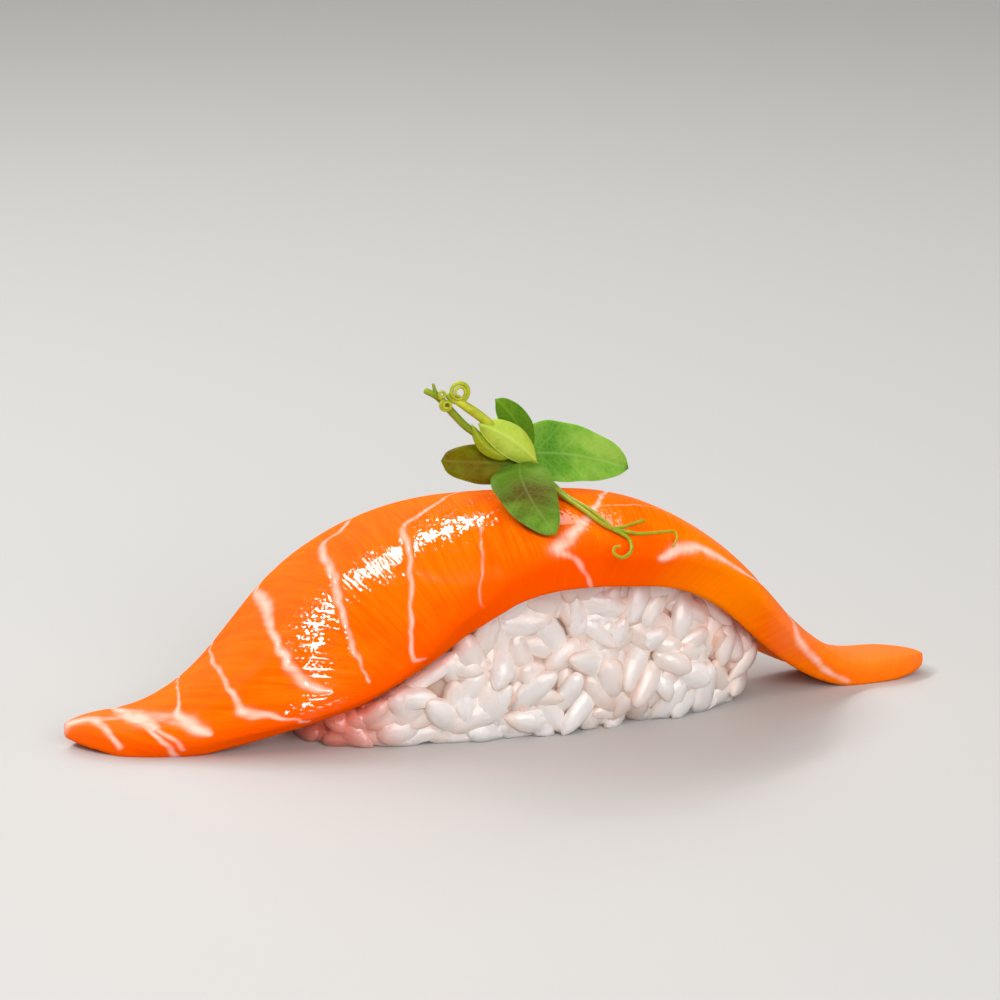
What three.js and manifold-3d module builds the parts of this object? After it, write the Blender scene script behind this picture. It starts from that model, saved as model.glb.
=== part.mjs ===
// Salmon nigiri: a thick strip of salmon laid over a block of pressed rice, with a pea shoot on its crest.
//
// Millimetres, +Z up. X runs along the strip, tail to tail, and Y across it, with the front at -Y.
// The nigiri stands on the plane z = 0, and the origin is under the middle of its outline.

import * as THREE from 'three';
import { mergeVertices } from 'three/addons/utils/BufferGeometryUtils.js';
import Module from 'manifold-3d';

const wasm = await Module();
wasm.setup();

// ---- Driving dimensions -----------------------------------------------------------------------------

const GAP = 0.3; // clearance left between touching pieces

// The strip of salmon. Its ridge line rises from two tails that lie on the table to one crest.
const HALF_LENGTH = 58;
const CREST_HEIGHT = 29.6;
const CREST_X = - 1;
const RIDGE_Y = 3; // of the ridge at the crest, behind the middle of the whole outline
const LEFT = { foot: 50.8, fullness: 1.26, tailHeight: 3.8, tailThickness: 3.4, swing: 2.5 };
const RIGHT = { foot: 50.4, fullness: 1.59, tailHeight: 3.25, tailThickness: 3.1, swing: 3.0 };
const CREST_THICKNESS = 6.5;
const THICKNESS_POWER = 1.5;
const TIP_LENGTH = 7; // over which a tail closes to its round end
const TIP_BLUNTNESS = 0.12; // length of the tip past the last section
const TIP_TAPER = 0.3; // share of its thickness that the strip loses at each face of a tip
const BACK_DROOP = 66; // degrees that the back edge hangs at the crest
const BACK_DROOP_POWER = 1.6;
const TOP_ROUNDING = 1.1; // radius of the knife edges
const BOTTOM_ROUNDING = 0.6;

// Nine even stations from the left tip to the right tip. Reach is measured over the surface from the
// ridge to the edge in mm. Droop is how far the surface has turned down at the front edge, and lean is
// the tilt of the strip on the ridge, towards the back when positive, both in degrees.
const FRONT_REACH = [ 4, 11.2, 18.8, 20, 19.6, 18.6, 13.2, 4.8, 3.6 ];
const BACK_REACH = [ 3, 7.6, 14, 17.5, 18, 17, 14.5, 8.5, 3.2 ];
const FRONT_DROOP = [ 15, 40, 42, 36, 33, 38, 26, 20, 12 ];
const LEAN = [ 8, - 1, - 21, - 11, 5, 9, 10, 1, 2 ];

// The block of rice, out to its bare core, and the grains pressed into it.
const CORE = {
	halfLength: 30.8, halfWidth: 11.2, height: 27, squareness: 2.4, centreX: 2, centreY: 0.6, turn: 3,
	leftFootRounding: 2.6, rightFootRounding: 6, taper: 1.2,
};
const GRAIN = { length: 6.2, width: 2.9, thickness: 2.5, spacing: 5.5, rowHeight: 3.0, sunk: 0.25 };

// How far the grains stray from even rows: sizes as a share, shifts in mm, turns in radians.
const STRAY = { size: 0.12, height: 0.5, depth: 0.3, angle: 0.03, tilt: 1.3, lift: 0.35 };
const GRAIN_SEED = 20;
const BARE_FOOT = 0.42; // share of the foot's undercut that bears no grains

// The pea shoot. J is the joint where its leaves and tendrils meet, 3 mm over the crest.
const J = [2.3, -0.4, 33.0];
const STEM_DIAMETER = 1.0;
const STALK_DIAMETER = 1.2;
const TENDRIL_DIAMETER = 0.6;
const LEAF_THICKNESS = 0.5;

// ---- Helpers ----------------------------------------------------------------------------------------

const radians = THREE.MathUtils.degToRad;
const vector = ( p ) => new THREE.Vector3( ...p );

// A bell that is 1 at u = 0 and 0 from u = 1 on, fuller for a higher power.
function bell( u, power ) {

	return 0.5 * ( 1 + Math.cos( Math.PI * Math.min( Math.abs( u ), 1 ) ** power ) );

}

// The value at x of a smooth curve through a row of even stations.
function station( values, x ) {

	const last = values.length - 1;
	const place = THREE.MathUtils.clamp( ( x / HALF_LENGTH + 1 ) / 2 * last, 0, last - 1e-9 );
	const i = Math.floor( place );
	const t = place - i;
	const b = values[ i ];
	const c = values[ i + 1 ];
	const a = i === 0 ? 2 * b - c : values[ i - 1 ];
	const d = i === last - 1 ? 2 * c - b : values[ i + 2 ];
	return b + 0.5 * t * ( c - a + t * ( 2 * a - 5 * b + 4 * c - d + t * ( 3 * b - a - 3 * c + d ) ) );

}

// Repeatable random numbers from 0 to 1.
function randomFrom( seed ) {

	let state = seed;
	return () => {

		state = ( state + 0x6D2B79F5 ) | 0;
		let t = Math.imul( state ^ ( state >>> 15 ), 1 | state );
		t = ( t + Math.imul( t ^ ( t >>> 7 ), 61 | t ) ) ^ t;
		return ( ( t ^ ( t >>> 14 ) ) >>> 0 ) / 2 ** 32;

	};

}

// A closed surface from rings of points, with a fan from each end ring to its pole. Each ring runs
// anticlockwise for an eye that the rings come towards.
function ringSolid( rings, startPole, endPole ) {

	const count = rings[ 0 ].length;
	const points = [ ...rings.flat(), startPole, endPole ];
	const start = points.length - 2;
	const faces = [];
	for ( let i = 0; i < count; i ++ ) {

		const j = ( i + 1 ) % count;
		const end = ( rings.length - 1 ) * count;
		faces.push( start, j, i, start + 1, end + i, end + j );
		for ( let r = 0; r < rings.length - 1; r ++ ) {

			const a = r * count + i;
			const b = r * count + j;
			faces.push( a, b, b + count, a, b + count, a + count );

		}

	}

	const geometry = new THREE.BufferGeometry().setFromPoints( points );
	geometry.setIndex( faces );
	return geometry;

}

// A three.js geometry as a manifold solid, and back.
function toSolid( geometry ) {

	const bare = geometry.clone();
	bare.deleteAttribute( 'normal' );
	bare.deleteAttribute( 'uv' );
	const merged = mergeVertices( bare, 1e-4 );
	return new wasm.Manifold( new wasm.Mesh( {
		numProp: 3,
		vertProperties: new Float32Array( merged.attributes.position.array ),
		triVerts: new Uint32Array( merged.index.array ),
	} ) );

}

function toGeometry( solid ) {

	const mesh = solid.getMesh();
	const geometry = new THREE.BufferGeometry();
	geometry.setAttribute( 'position', new THREE.BufferAttribute( mesh.vertProperties, 3 ) );
	geometry.setIndex( new THREE.BufferAttribute( mesh.triVerts, 1 ) );
	return geometry;

}

function joined( pieces ) {

	return pieces.reduce( ( whole, piece ) => whole.add( piece ) );

}

// A solid without the scraps that a cut or a join has left loose.
function largestBody( solid ) {

	return solid.decompose().reduce( ( best, body ) => ( body.volume() > best.volume() ? body : best ) );

}

function namedMesh( name, geometry, color, roughness ) {

	geometry.computeVertexNormals();
	const material = new THREE.MeshStandardMaterial( { color, roughness, metalness: 0 } );
	const mesh = new THREE.Mesh( geometry, material );
	mesh.name = name;
	return mesh;

}

// ---- The strip of salmon ----------------------------------------------------------------------------

const sideOf = ( x ) => ( x < 0 ? LEFT : RIGHT );

function ridgeHeight( x ) {

	const { foot, fullness, tailHeight } = x < CREST_X ? LEFT : RIGHT;
	return tailHeight + ( CREST_HEIGHT - tailHeight ) * bell( ( x - CREST_X ) / foot, fullness );

}

function stripThickness( x ) {

	const tail = sideOf( x ).tailThickness;
	return tail + ( CREST_THICKNESS - tail ) * bell( x / HALF_LENGTH, THICKNESS_POWER );

}

// How much of its width the strip still has at x: all of it up to the round end of a tail.
function tipFactor( x ) {

	const past = Math.max( Math.abs( x ) - ( HALF_LENGTH - TIP_LENGTH ), 0 ) / TIP_LENGTH;
	return Math.sqrt( Math.max( 1 - past * past, 0 ) );

}

// A point of the strip: x along it, s over its surface from the ridge (negative to the front) and depth
// under the surface. Each half of the section is an arc, so the point lies at the end of a chord.
function stripPoint( x, s, depth ) {

	const step = 0.02;
	const slope = ( ridgeHeight( x + step ) - ridgeHeight( x - step ) ) / ( 2 * step );
	const up = new THREE.Vector3( - slope, 0, 1 ).normalize();
	const lean = radians( station( LEAN, x ) );
	const turn = s < 0
		? radians( station( FRONT_DROOP, x ) ) * s / station( FRONT_REACH, x )
		: radians( BACK_DROOP * bell( x / HALF_LENGTH, BACK_DROOP_POWER ) ) * s / station( BACK_REACH, x );
	const chord = Math.abs( turn ) < 1e-6 ? s : s * Math.sin( turn / 2 ) / ( turn / 2 );
	const heading = lean + turn / 2;
	const normal = up.clone().multiplyScalar( Math.cos( lean + turn ) );
	normal.y += Math.sin( lean + turn );
	const point = new THREE.Vector3( x, sideOf( x ).swing * ( x / HALF_LENGTH ) ** 2, ridgeHeight( x ) );
	point.addScaledVector( up, - chord * Math.sin( heading ) );
	point.y += chord * Math.cos( heading );
	return point.addScaledVector( normal, - depth );

}

// The section at x as a ring of [s, depth], a rectangle with rounded corners, counted along the underside
// from the front to the back, up the back face and over the top.
function sectionOutline( x, grow ) {

	const across = 11;
	const corner = 2;
	const front = - station( FRONT_REACH, x ) * tipFactor( x ) - grow;
	const back = station( BACK_REACH, x ) * tipFactor( x ) + grow;
	const sunk = TIP_TAPER * stripThickness( x ) * ( 1 - tipFactor( x ) );
	const top = sunk - grow;
	const bottom = stripThickness( x ) - sunk + grow;
	const largest = 0.45 * Math.min( back - front, bottom - top );
	const r = Math.min( TOP_ROUNDING, largest );
	const q = Math.min( BOTTOM_ROUNDING, largest );
	const ring = [];
	const arc = ( s, depth, radius, from ) => {

		for ( let i = 0; i <= corner; i ++ ) {

			const angle = radians( from - 90 * i / corner );
			ring.push( [ s - radius * Math.cos( angle ), depth - radius * Math.sin( angle ) ] );

		}

	};

	const line = ( from, to, depth ) => {

		for ( let i = 1; i < across; i ++ ) ring.push( [ THREE.MathUtils.lerp( from, to, i / across ), depth ] );

	};

	arc( front + q, bottom - q, q, 360 );
	line( front + q, back - q, bottom );
	arc( back - q, bottom - q, q, 270 );
	arc( back - r, top + r, r, 180 );
	line( back - r, front + r, top );
	arc( front + r, top + r, r, 90 );
	return ring;

}

// The strip, or with grow a fatter one that cuts the clearance round it. The sections stand closer
// together towards the tips, and the underside lies flat on the table where it reaches it.
function stripGeometry( grow = 0 ) {

	const rings = [];
	const steps = 42;
	const crowding = 0.4;
	const reach = HALF_LENGTH - TIP_BLUNTNESS;
	const floor = grow > 0 ? - 1 : 0;
	const place = ( x, s, depth ) => {

		const point = stripPoint( x, s, depth );
		point.z = Math.max( point.z, floor );
		return point;

	};

	for ( let i = 0; i <= steps; i ++ ) {

		const t = 2 * i / steps - 1;
		const x = reach * THREE.MathUtils.lerp( t, Math.sin( Math.PI / 2 * t ), crowding );
		rings.push( sectionOutline( x, grow ).map( ( [ s, depth ] ) => place( x, s, depth ) ) );

	}

	const pole = ( x ) => place( x, 0, stripThickness( x ) / 2 );
	return ringSolid( rings, pole( - HALF_LENGTH - grow ), pole( HALF_LENGTH + grow ) );

}

// ---- The block of rice ------------------------------------------------------------------------------

// The radius of the undercut at the core's foot, which grows from the left end to the right.
function footRounding( angle ) {

	return THREE.MathUtils.lerp( CORE.leftFootRounding, CORE.rightFootRounding, ( 1 + Math.cos( angle ) ) / 2 );

}

// The core's outline at one height, as a superellipse that is drawn in at its foot and its top.
function corePoint( angle, z ) {

	const { halfLength, halfWidth, squareness, taper, height } = CORE;
	const power = 2 / squareness;
	const c = Math.cos( angle );
	const s = Math.sin( angle );
	const rounding = footRounding( angle );
	const low = Math.max( rounding - z, 0 );
	const inset = rounding - Math.sqrt( rounding ** 2 - low ** 2 ) + taper * ( z / height ) ** 2;
	const point = new THREE.Vector3(
		( halfLength - inset ) * Math.sign( c ) * Math.abs( c ) ** power,
		( halfWidth - inset ) * Math.sign( s ) * Math.abs( s ) ** power, z );
	point.applyAxisAngle( new THREE.Vector3( 0, 0, 1 ), radians( CORE.turn ) );
	point.x += CORE.centreX;
	point.y += CORE.centreY;
	return point;

}

function coreGeometry() {

	const sides = 36;
	const levels = [ 0, 0.1, 0.3, 0.6, 1 ].map( ( t ) => t * CORE.rightFootRounding );
	levels.push( CORE.height / 2, CORE.height );
	const rings = levels.map( ( z ) => Array.from( { length: sides },
		( _, i ) => corePoint( 2 * Math.PI * i / sides, z ) ) );
	const middle = ( z ) => new THREE.Vector3( CORE.centreX, CORE.centreY, z );
	return ringSolid( rings, middle( 0 ), middle( CORE.height ) );

}

// Angles that divide the core's outline at height z into even lengths.
function evenAngles( z, spacing, offset ) {

	const samples = 720;
	const lengths = [ 0 ];
	for ( let i = 1; i <= samples; i ++ ) {

		const a = corePoint( 2 * Math.PI * ( i - 1 ) / samples, z );
		lengths.push( lengths[ i - 1 ] + a.distanceTo( corePoint( 2 * Math.PI * i / samples, z ) ) );

	}

	const total = lengths[ samples ];
	const count = Math.round( total / spacing );
	return Array.from( { length: count }, ( _, k ) => {

		const target = total * ( ( k + offset ) / count );
		return 2 * Math.PI * lengths.findIndex( ( length ) => length >= target ) / samples;

	} );

}

// The height of the strip's underside over the point ( x, y ), found by stepping along the strip, or
// Infinity where the strip doesn't reach.
function roofHeight( x, y ) {

	let along = x;
	let across = y;
	let point;
	for ( let i = 0; i < 8; i ++ ) {

		point = stripPoint( along, across, stripThickness( along ) );
		along += x - point.x;
		across += y - point.y;

	}

	const inside = across > - station( FRONT_REACH, along ) && across < station( BACK_REACH, along );
	return inside ? point.z : Infinity;

}

// Rows of cooked grains over the side of the core, half sunk in it, each turned and sized at random.
// A grain that would cross the strip is skipped, and so is one in the undercut foot.
function grainSolids() {

	const random = randomFrom( GRAIN_SEED );
	const spread = ( amount ) => amount * ( 2 * random() - 1 );
	const grains = [];
	const roundedOut = 1.06; // radius at which a solid of 20 faces is as large as a unit ball
	const shape = new THREE.IcosahedronGeometry( roundedOut );
	const halfSizes = new THREE.Vector3( GRAIN.length, GRAIN.width, GRAIN.thickness ).divideScalar( 2 );
	for ( let row = GRAIN.thickness / 2; row < CORE.height; row += GRAIN.rowHeight ) {

		for ( const even of evenAngles( row, GRAIN.spacing, random() ) ) {

			const angle = even + spread( STRAY.angle );
			const height = Math.max( row + spread( STRAY.height ), GRAIN.thickness / 3 );
			const centre = corePoint( angle, height );
			if ( height > roofHeight( centre.x, centre.y ) - GRAIN.thickness / 2 ) continue;
			if ( height < BARE_FOOT * footRounding( angle ) ) continue;
			const along = corePoint( angle + 0.01, height ).sub( corePoint( angle - 0.01, height ) ).normalize();
			const out = new THREE.Vector3( along.y, - along.x, 0 );
			const turned = along.applyAxisAngle( out, spread( STRAY.tilt ) );
			turned.addScaledVector( out, spread( STRAY.lift ) ).normalize();
			const side = new THREE.Vector3().crossVectors( out, turned ).normalize();
			const face = new THREE.Vector3().crossVectors( turned, side );
			const size = halfSizes.clone().multiplyScalar( 1 + spread( STRAY.size ) );
			centre.addScaledVector( out, spread( STRAY.depth ) - GRAIN.sunk );
			const place = new THREE.Matrix4().makeBasis( turned, side, face ).setPosition( centre ).scale( size );
			grains.push( toSolid( shape.clone().applyMatrix4( place ) ) );

		}

	}

	return grains;

}

// The heap is cut to the strip that lies on it and to the table under it.
function riceSolid() {

	const heap = joined( [ toSolid( coreGeometry() ), ...grainSolids() ] );
	const table = new THREE.BoxGeometry( 200, 100, 20 ).translate( 0, 0, - 10 );
	return largestBody( heap.subtract( toSolid( stripGeometry( GAP ) ) ).subtract( toSolid( table ) ) );

}

// ---- The pea shoot ----------------------------------------------------------------------------------

// A strand along a smooth curve, with a polygon for its round section.
function strand( points, diameter, steps, sides = 5 ) {

	const path = new THREE.CatmullRomCurve3( points.map( vector ) );
	const centre = new THREE.Vector2();
	const corner = new THREE.Vector2( diameter / 2, 0 );
	const section = new THREE.Shape( Array.from( { length: sides },
		( _, i ) => corner.clone().rotateAround( centre, 2 * Math.PI * i / sides ) ) );
	return toSolid( new THREE.ExtrudeGeometry( section, { extrudePath: path, steps, bevelEnabled: false } ) );

}

// A leaf: a thin blade along an arc from its base to its tip, blunter for a lower power and wider near
// its base for a lower belly, cupped across and waved along its rim. Both faces are one ring for each step.
function leaf( { base, via, tip, across, width, cup, wave = 0.2, bluntness = 0.6, belly = 0.9 } ) {

	const axis = new THREE.QuadraticBezierCurve3( vector( base ), vector( via ), vector( tip ) );
	const steps = 8;
	const cells = 4;
	const waves = 1.4;
	const rings = [];
	for ( let i = 1; i < steps; i ++ ) {

		const u = i / steps;
		const centre = axis.getPoint( u );
		const tangent = axis.getTangent( u );
		const side = vector( across ).projectOnPlane( tangent ).normalize();
		const normal = new THREE.Vector3().crossVectors( tangent, side );
		const half = width / 2 * Math.sin( Math.PI * u ** belly ) ** bluntness;
		const ripple = wave * Math.sin( 2 * Math.PI * waves * u );
		const blade = ( w, face ) => centre.clone()
			.addScaledVector( side, w * half )
			.addScaledVector( normal, cup * w * w + ripple * w + face * LEAF_THICKNESS / 2 );
		const ring = [];
		for ( let k = 0; k <= cells; k ++ ) ring.push( blade( 2 * k / cells - 1, - 1 ) );
		for ( let k = cells; k >= 0; k -- ) ring.push( blade( 2 * k / cells - 1, 1 ) );
		rings.push( ring );

	}

	return toSolid( ringSolid( rings, vector( base ), vector( tip ) ) );

}

// Points over the strip's surface, lifted so that a tendril lies clear of it.
function onStrip( places ) {

	const lift = GAP + TENDRIL_DIAMETER / 2 + 0.05;
	return places.map( ( [ x, s, extra = 0 ] ) => stripPoint( x, s, - lift - extra ).toArray() );

}

// A flat spiral that winds in from its outer turn.
function spiral( centre, outer, inner, turns, startAngle ) {

	const [ x, y, z ] = centre;
	const count = Math.round( turns * 12 );
	return Array.from( { length: count + 1 }, ( _, i ) => {

		const t = i / count;
		const angle = radians( startAngle ) + 2 * Math.PI * turns * t;
		const radius = THREE.MathUtils.lerp( outer, inner, t );
		return [ x + radius * Math.cos( angle ), y - TENDRIL_DIAMETER * t, z + radius * Math.sin( angle ) ];

	} );

}

function shootStems() {

	const crook = [ - 9.6, 0.2, 42.3 ];
	const stemTip = [ - 11.4, 0.2, 43.4 ];
	const stem = [ stemTip, crook, [ - 7.6, 0.2, 40.0 ], [ - 5.6, 0.1, 38.0 ], [ - 1.4, 0, 35.2 ], J ];
	const twig = [ [ - 10.4, 0.2, 44.2 ], [ - 10.1, 0.2, 43.2 ], crook ];
	const stalkTop = [ - 8.7, - 0.5, 42.7 ];
	const stalk = [ stalkTop, [ - 6.6, - 0.7, 41.4 ], [ - 4.0, - 0.9, 39.4 ], [ - 1.0, - 0.8, 36.3 ], J ];
	const coil = spiral( [ - 7.3, - 0.6, 43.2 ], 1.4, 0.6, 1.6, 200 );
	return [
		strand( stem, STEM_DIAMETER, 14 ),
		strand( twig, STEM_DIAMETER * 0.7, 4 ),
		strand( stalk, STALK_DIAMETER, 12 ),
		strand( [ stalkTop, ...coil ], TENDRIL_DIAMETER, 28 ),
	];

}

function shootTendrils() {

	// places on the strip as [ x, s, extra lift ]
	const fork = [ 8.5, - 15.8 ];
	const run = [ [ 4.7, - 7.2 ], [ 6.0, - 11.6 ], [ 7.4, - 14.7 ], fork ];
	const beside = [ [ 5.1, - 6.7 ], [ 6.7, - 11.1 ], [ 8.0, - 14.3 ], fork ];
	const upper = [ fork, [ 10.7, - 14.8 ], [ 13.4, - 13.0 ] ];
	const hooked = [
		fork, [ 12.2, - 16.1 ], [ 15.4, - 14.9 ], [ 17.2, - 14.0 ], [ 17.5, - 15.2 ], [ 16.6, - 17.4 ],
	];
	const curled = [
		fork, [ 10.1, - 17.1 ], [ 10.4, - 18.5 ], [ 9.8, - 20.2, 0.2 ], [ 8.3, - 21.4, 0.4 ], [ 7.3, - 20.8, 0.4 ],
		[ 7.6, - 19.8, 0.4 ], [ 8.4, - 19.6, 0.6 ],
	];
	return [
		strand( [ J, [ 3.5, - 3.5, 31.2 ], ...onStrip( run ) ], TENDRIL_DIAMETER, 14 ),
		strand( [ J, [ 4.0, - 3.3, 31.4 ], ...onStrip( beside ) ], TENDRIL_DIAMETER, 14 ),
		strand( onStrip( upper ), TENDRIL_DIAMETER, 8 ),
		strand( onStrip( hooked ), TENDRIL_DIAMETER, 16 ),
		strand( onStrip( curled ), TENDRIL_DIAMETER, 20 ),
	];

}

function shootLeaves() {

	const overTheShoulder = stripPoint( 0.6, - 16.7, - 0.8 ).toArray();
	return [
		// the large leaf to the right, which stands on the crest and faces the front
		leaf( { base: [ 0.8, 0.1, 34.3 ], via: [ 7.4, 0.4, 34.6 ], tip: [ 15.3, 0.6, 31.5 ],
			across: [ 0, 0.7, 1 ], width: 8.4, cup: 0.5, bluntness: 0.5, belly: 0.75 } ),
		// the leaf that hangs over the front shoulder
		leaf( { base: [ 1.2, - 0.2, 33.4 ], via: [ - 2.6, - 8.0, 33.4 ], tip: overTheShoulder,
			across: [ 1, - 0.1, 0.1 ], width: 7.9, cup: - 0.3, bluntness: 0.5, belly: 0.8 } ),
		// the small leaf to the left
		leaf( { base: [ 1.6, 0, 33.1 ], via: [ - 3.2, 0.6, 33.3 ], tip: [ - 8.8, 1.0, 33.9 ],
			across: [ 0.1, 0.5, 1 ], width: 5.3, cup: 0.4, bluntness: 0.4 } ),
		// the upper leaf, behind the folded one
		leaf( { base: [ 1.9, 0.2, 33.8 ], via: [ 1.5, 0.7, 38.4 ], tip: [ - 1.9, 0.6, 41.4 ],
			across: [ 1, 0.1, 0.5 ], width: 4.0, cup: 0.3, bluntness: 0.5 } ),
		// the folded pale leaf that covers the stalk
		leaf( { base: [ 2.8, - 1.0, 33.5 ], via: [ - 0.2, - 1.9, 37.2 ], tip: [ - 4.6, - 1.4, 38.9 ],
			across: [ 0.55, 0.2, 0.8 ], width: 4.2, cup: 0.9, wave: 0.1, bluntness: 0.5 } ),
		// the slim scale at the foot of the stalk
		leaf( { base: [ - 0.4, - 0.6, 34.2 ], via: [ - 4.2, - 0.7, 35.0 ], tip: [ - 5.4, - 0.4, 38.6 ],
			across: [ 0.8, 0, 0.6 ], width: 1.9, cup: 0.2, wave: 0.1 } ),
	];

}

function shootSolid() {

	const knot = new THREE.SphereGeometry( 1, 8, 6 ).scale( 1.3, 1.0, 1.1 ).translate( ...J );
	return largestBody( joined( [ toSolid( knot ), ...shootStems(), ...shootTendrils(), ...shootLeaves() ] ) );

}

// ---- The nigiri -------------------------------------------------------------------------------------

const nigiri = new THREE.Group();
nigiri.add( namedMesh( 'salmon', stripGeometry(), '#f67513', 0.3 ) );
nigiri.add( namedMesh( 'rice', toGeometry( riceSolid() ), '#e7e2df', 0.45 ) );
nigiri.add( namedMesh( 'pea_shoot', toGeometry( shootSolid() ), '#79a919', 0.45 ) );

// The shapes above are measured from the ridge, and the origin lies under the middle of the outline.
nigiri.position.y = RIDGE_Y;

export default nigiri;
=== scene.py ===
"""Salmon nigiri, dressed: moist salmon with its fat lines, cooked rice in whole grains and a pea shoot.

Shapes are worked out in millimetres, with +X along the strip of salmon, +Y to the back and +Z up.
"""

import math
from functools import partial

import bpy
import numpy as np
from mathutils import Matrix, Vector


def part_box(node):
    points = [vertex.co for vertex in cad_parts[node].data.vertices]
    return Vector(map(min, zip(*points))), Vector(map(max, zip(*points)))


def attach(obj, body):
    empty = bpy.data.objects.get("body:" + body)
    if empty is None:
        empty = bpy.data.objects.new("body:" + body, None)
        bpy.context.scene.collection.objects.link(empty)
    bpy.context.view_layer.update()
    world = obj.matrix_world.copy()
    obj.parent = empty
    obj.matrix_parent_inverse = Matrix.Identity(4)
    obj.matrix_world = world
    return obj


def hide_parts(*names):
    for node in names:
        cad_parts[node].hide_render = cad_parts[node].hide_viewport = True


bl_info = {
    "name": "Salmon Nigiri",
    "version": (1, 0, 0),
    "blender": (4, 5, 0),
    "location": "3D View > Sidebar > Nigiri",
    "description": "Dresses the nigiri with moist salmon, cooked rice grains and a pea shoot",
    "category": "Add Mesh",
}

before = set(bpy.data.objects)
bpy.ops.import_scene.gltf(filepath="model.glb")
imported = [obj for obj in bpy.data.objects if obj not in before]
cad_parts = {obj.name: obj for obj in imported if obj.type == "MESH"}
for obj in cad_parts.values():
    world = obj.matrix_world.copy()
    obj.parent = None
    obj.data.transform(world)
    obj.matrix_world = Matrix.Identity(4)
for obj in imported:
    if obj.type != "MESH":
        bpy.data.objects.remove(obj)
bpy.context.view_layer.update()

MM = 0.001
BODY = "root"

# ---- The strip's form, the same as that of the solid it replaces ----------------------------------------

HALF_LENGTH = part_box("salmon")[1].x / MM
CREST_HEIGHT = 29.6
CREST_X = -1.0
RIDGE_Y = 3.0
LEFT = {"foot": 50.8, "fullness": 1.26, "tail_height": 3.8, "tail_thickness": 3.4, "swing": 2.5}
RIGHT = {"foot": 50.4, "fullness": 1.59, "tail_height": 3.25, "tail_thickness": 3.1, "swing": 3.0}
CREST_THICKNESS = 6.5
THICKNESS_POWER = 1.5
TIP_LENGTH = 7.0
TIP_TAPER = 0.3  # share of its thickness that the strip loses at each face of a tip
BACK_DROOP = 66.0
BACK_DROOP_POWER = 1.6
TOP_ROUNDING = 1.3
BOTTOM_ROUNDING = 0.9

# Nine even stations from the left tip to the right tip: reach over the surface in mm, turns in degrees.
FRONT_REACH = (4, 11.2, 18.8, 20, 19.6, 18.6, 13.2, 4.8, 3.6)
BACK_REACH = (3, 7.6, 14, 17.5, 18, 17, 14.5, 8.5, 3.2)
FRONT_DROOP = (15, 40, 42, 36, 33, 38, 26, 20, 12)
LEAN = (8, -1, -21, -11, 5, 9, 10, 1, 2)

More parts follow.
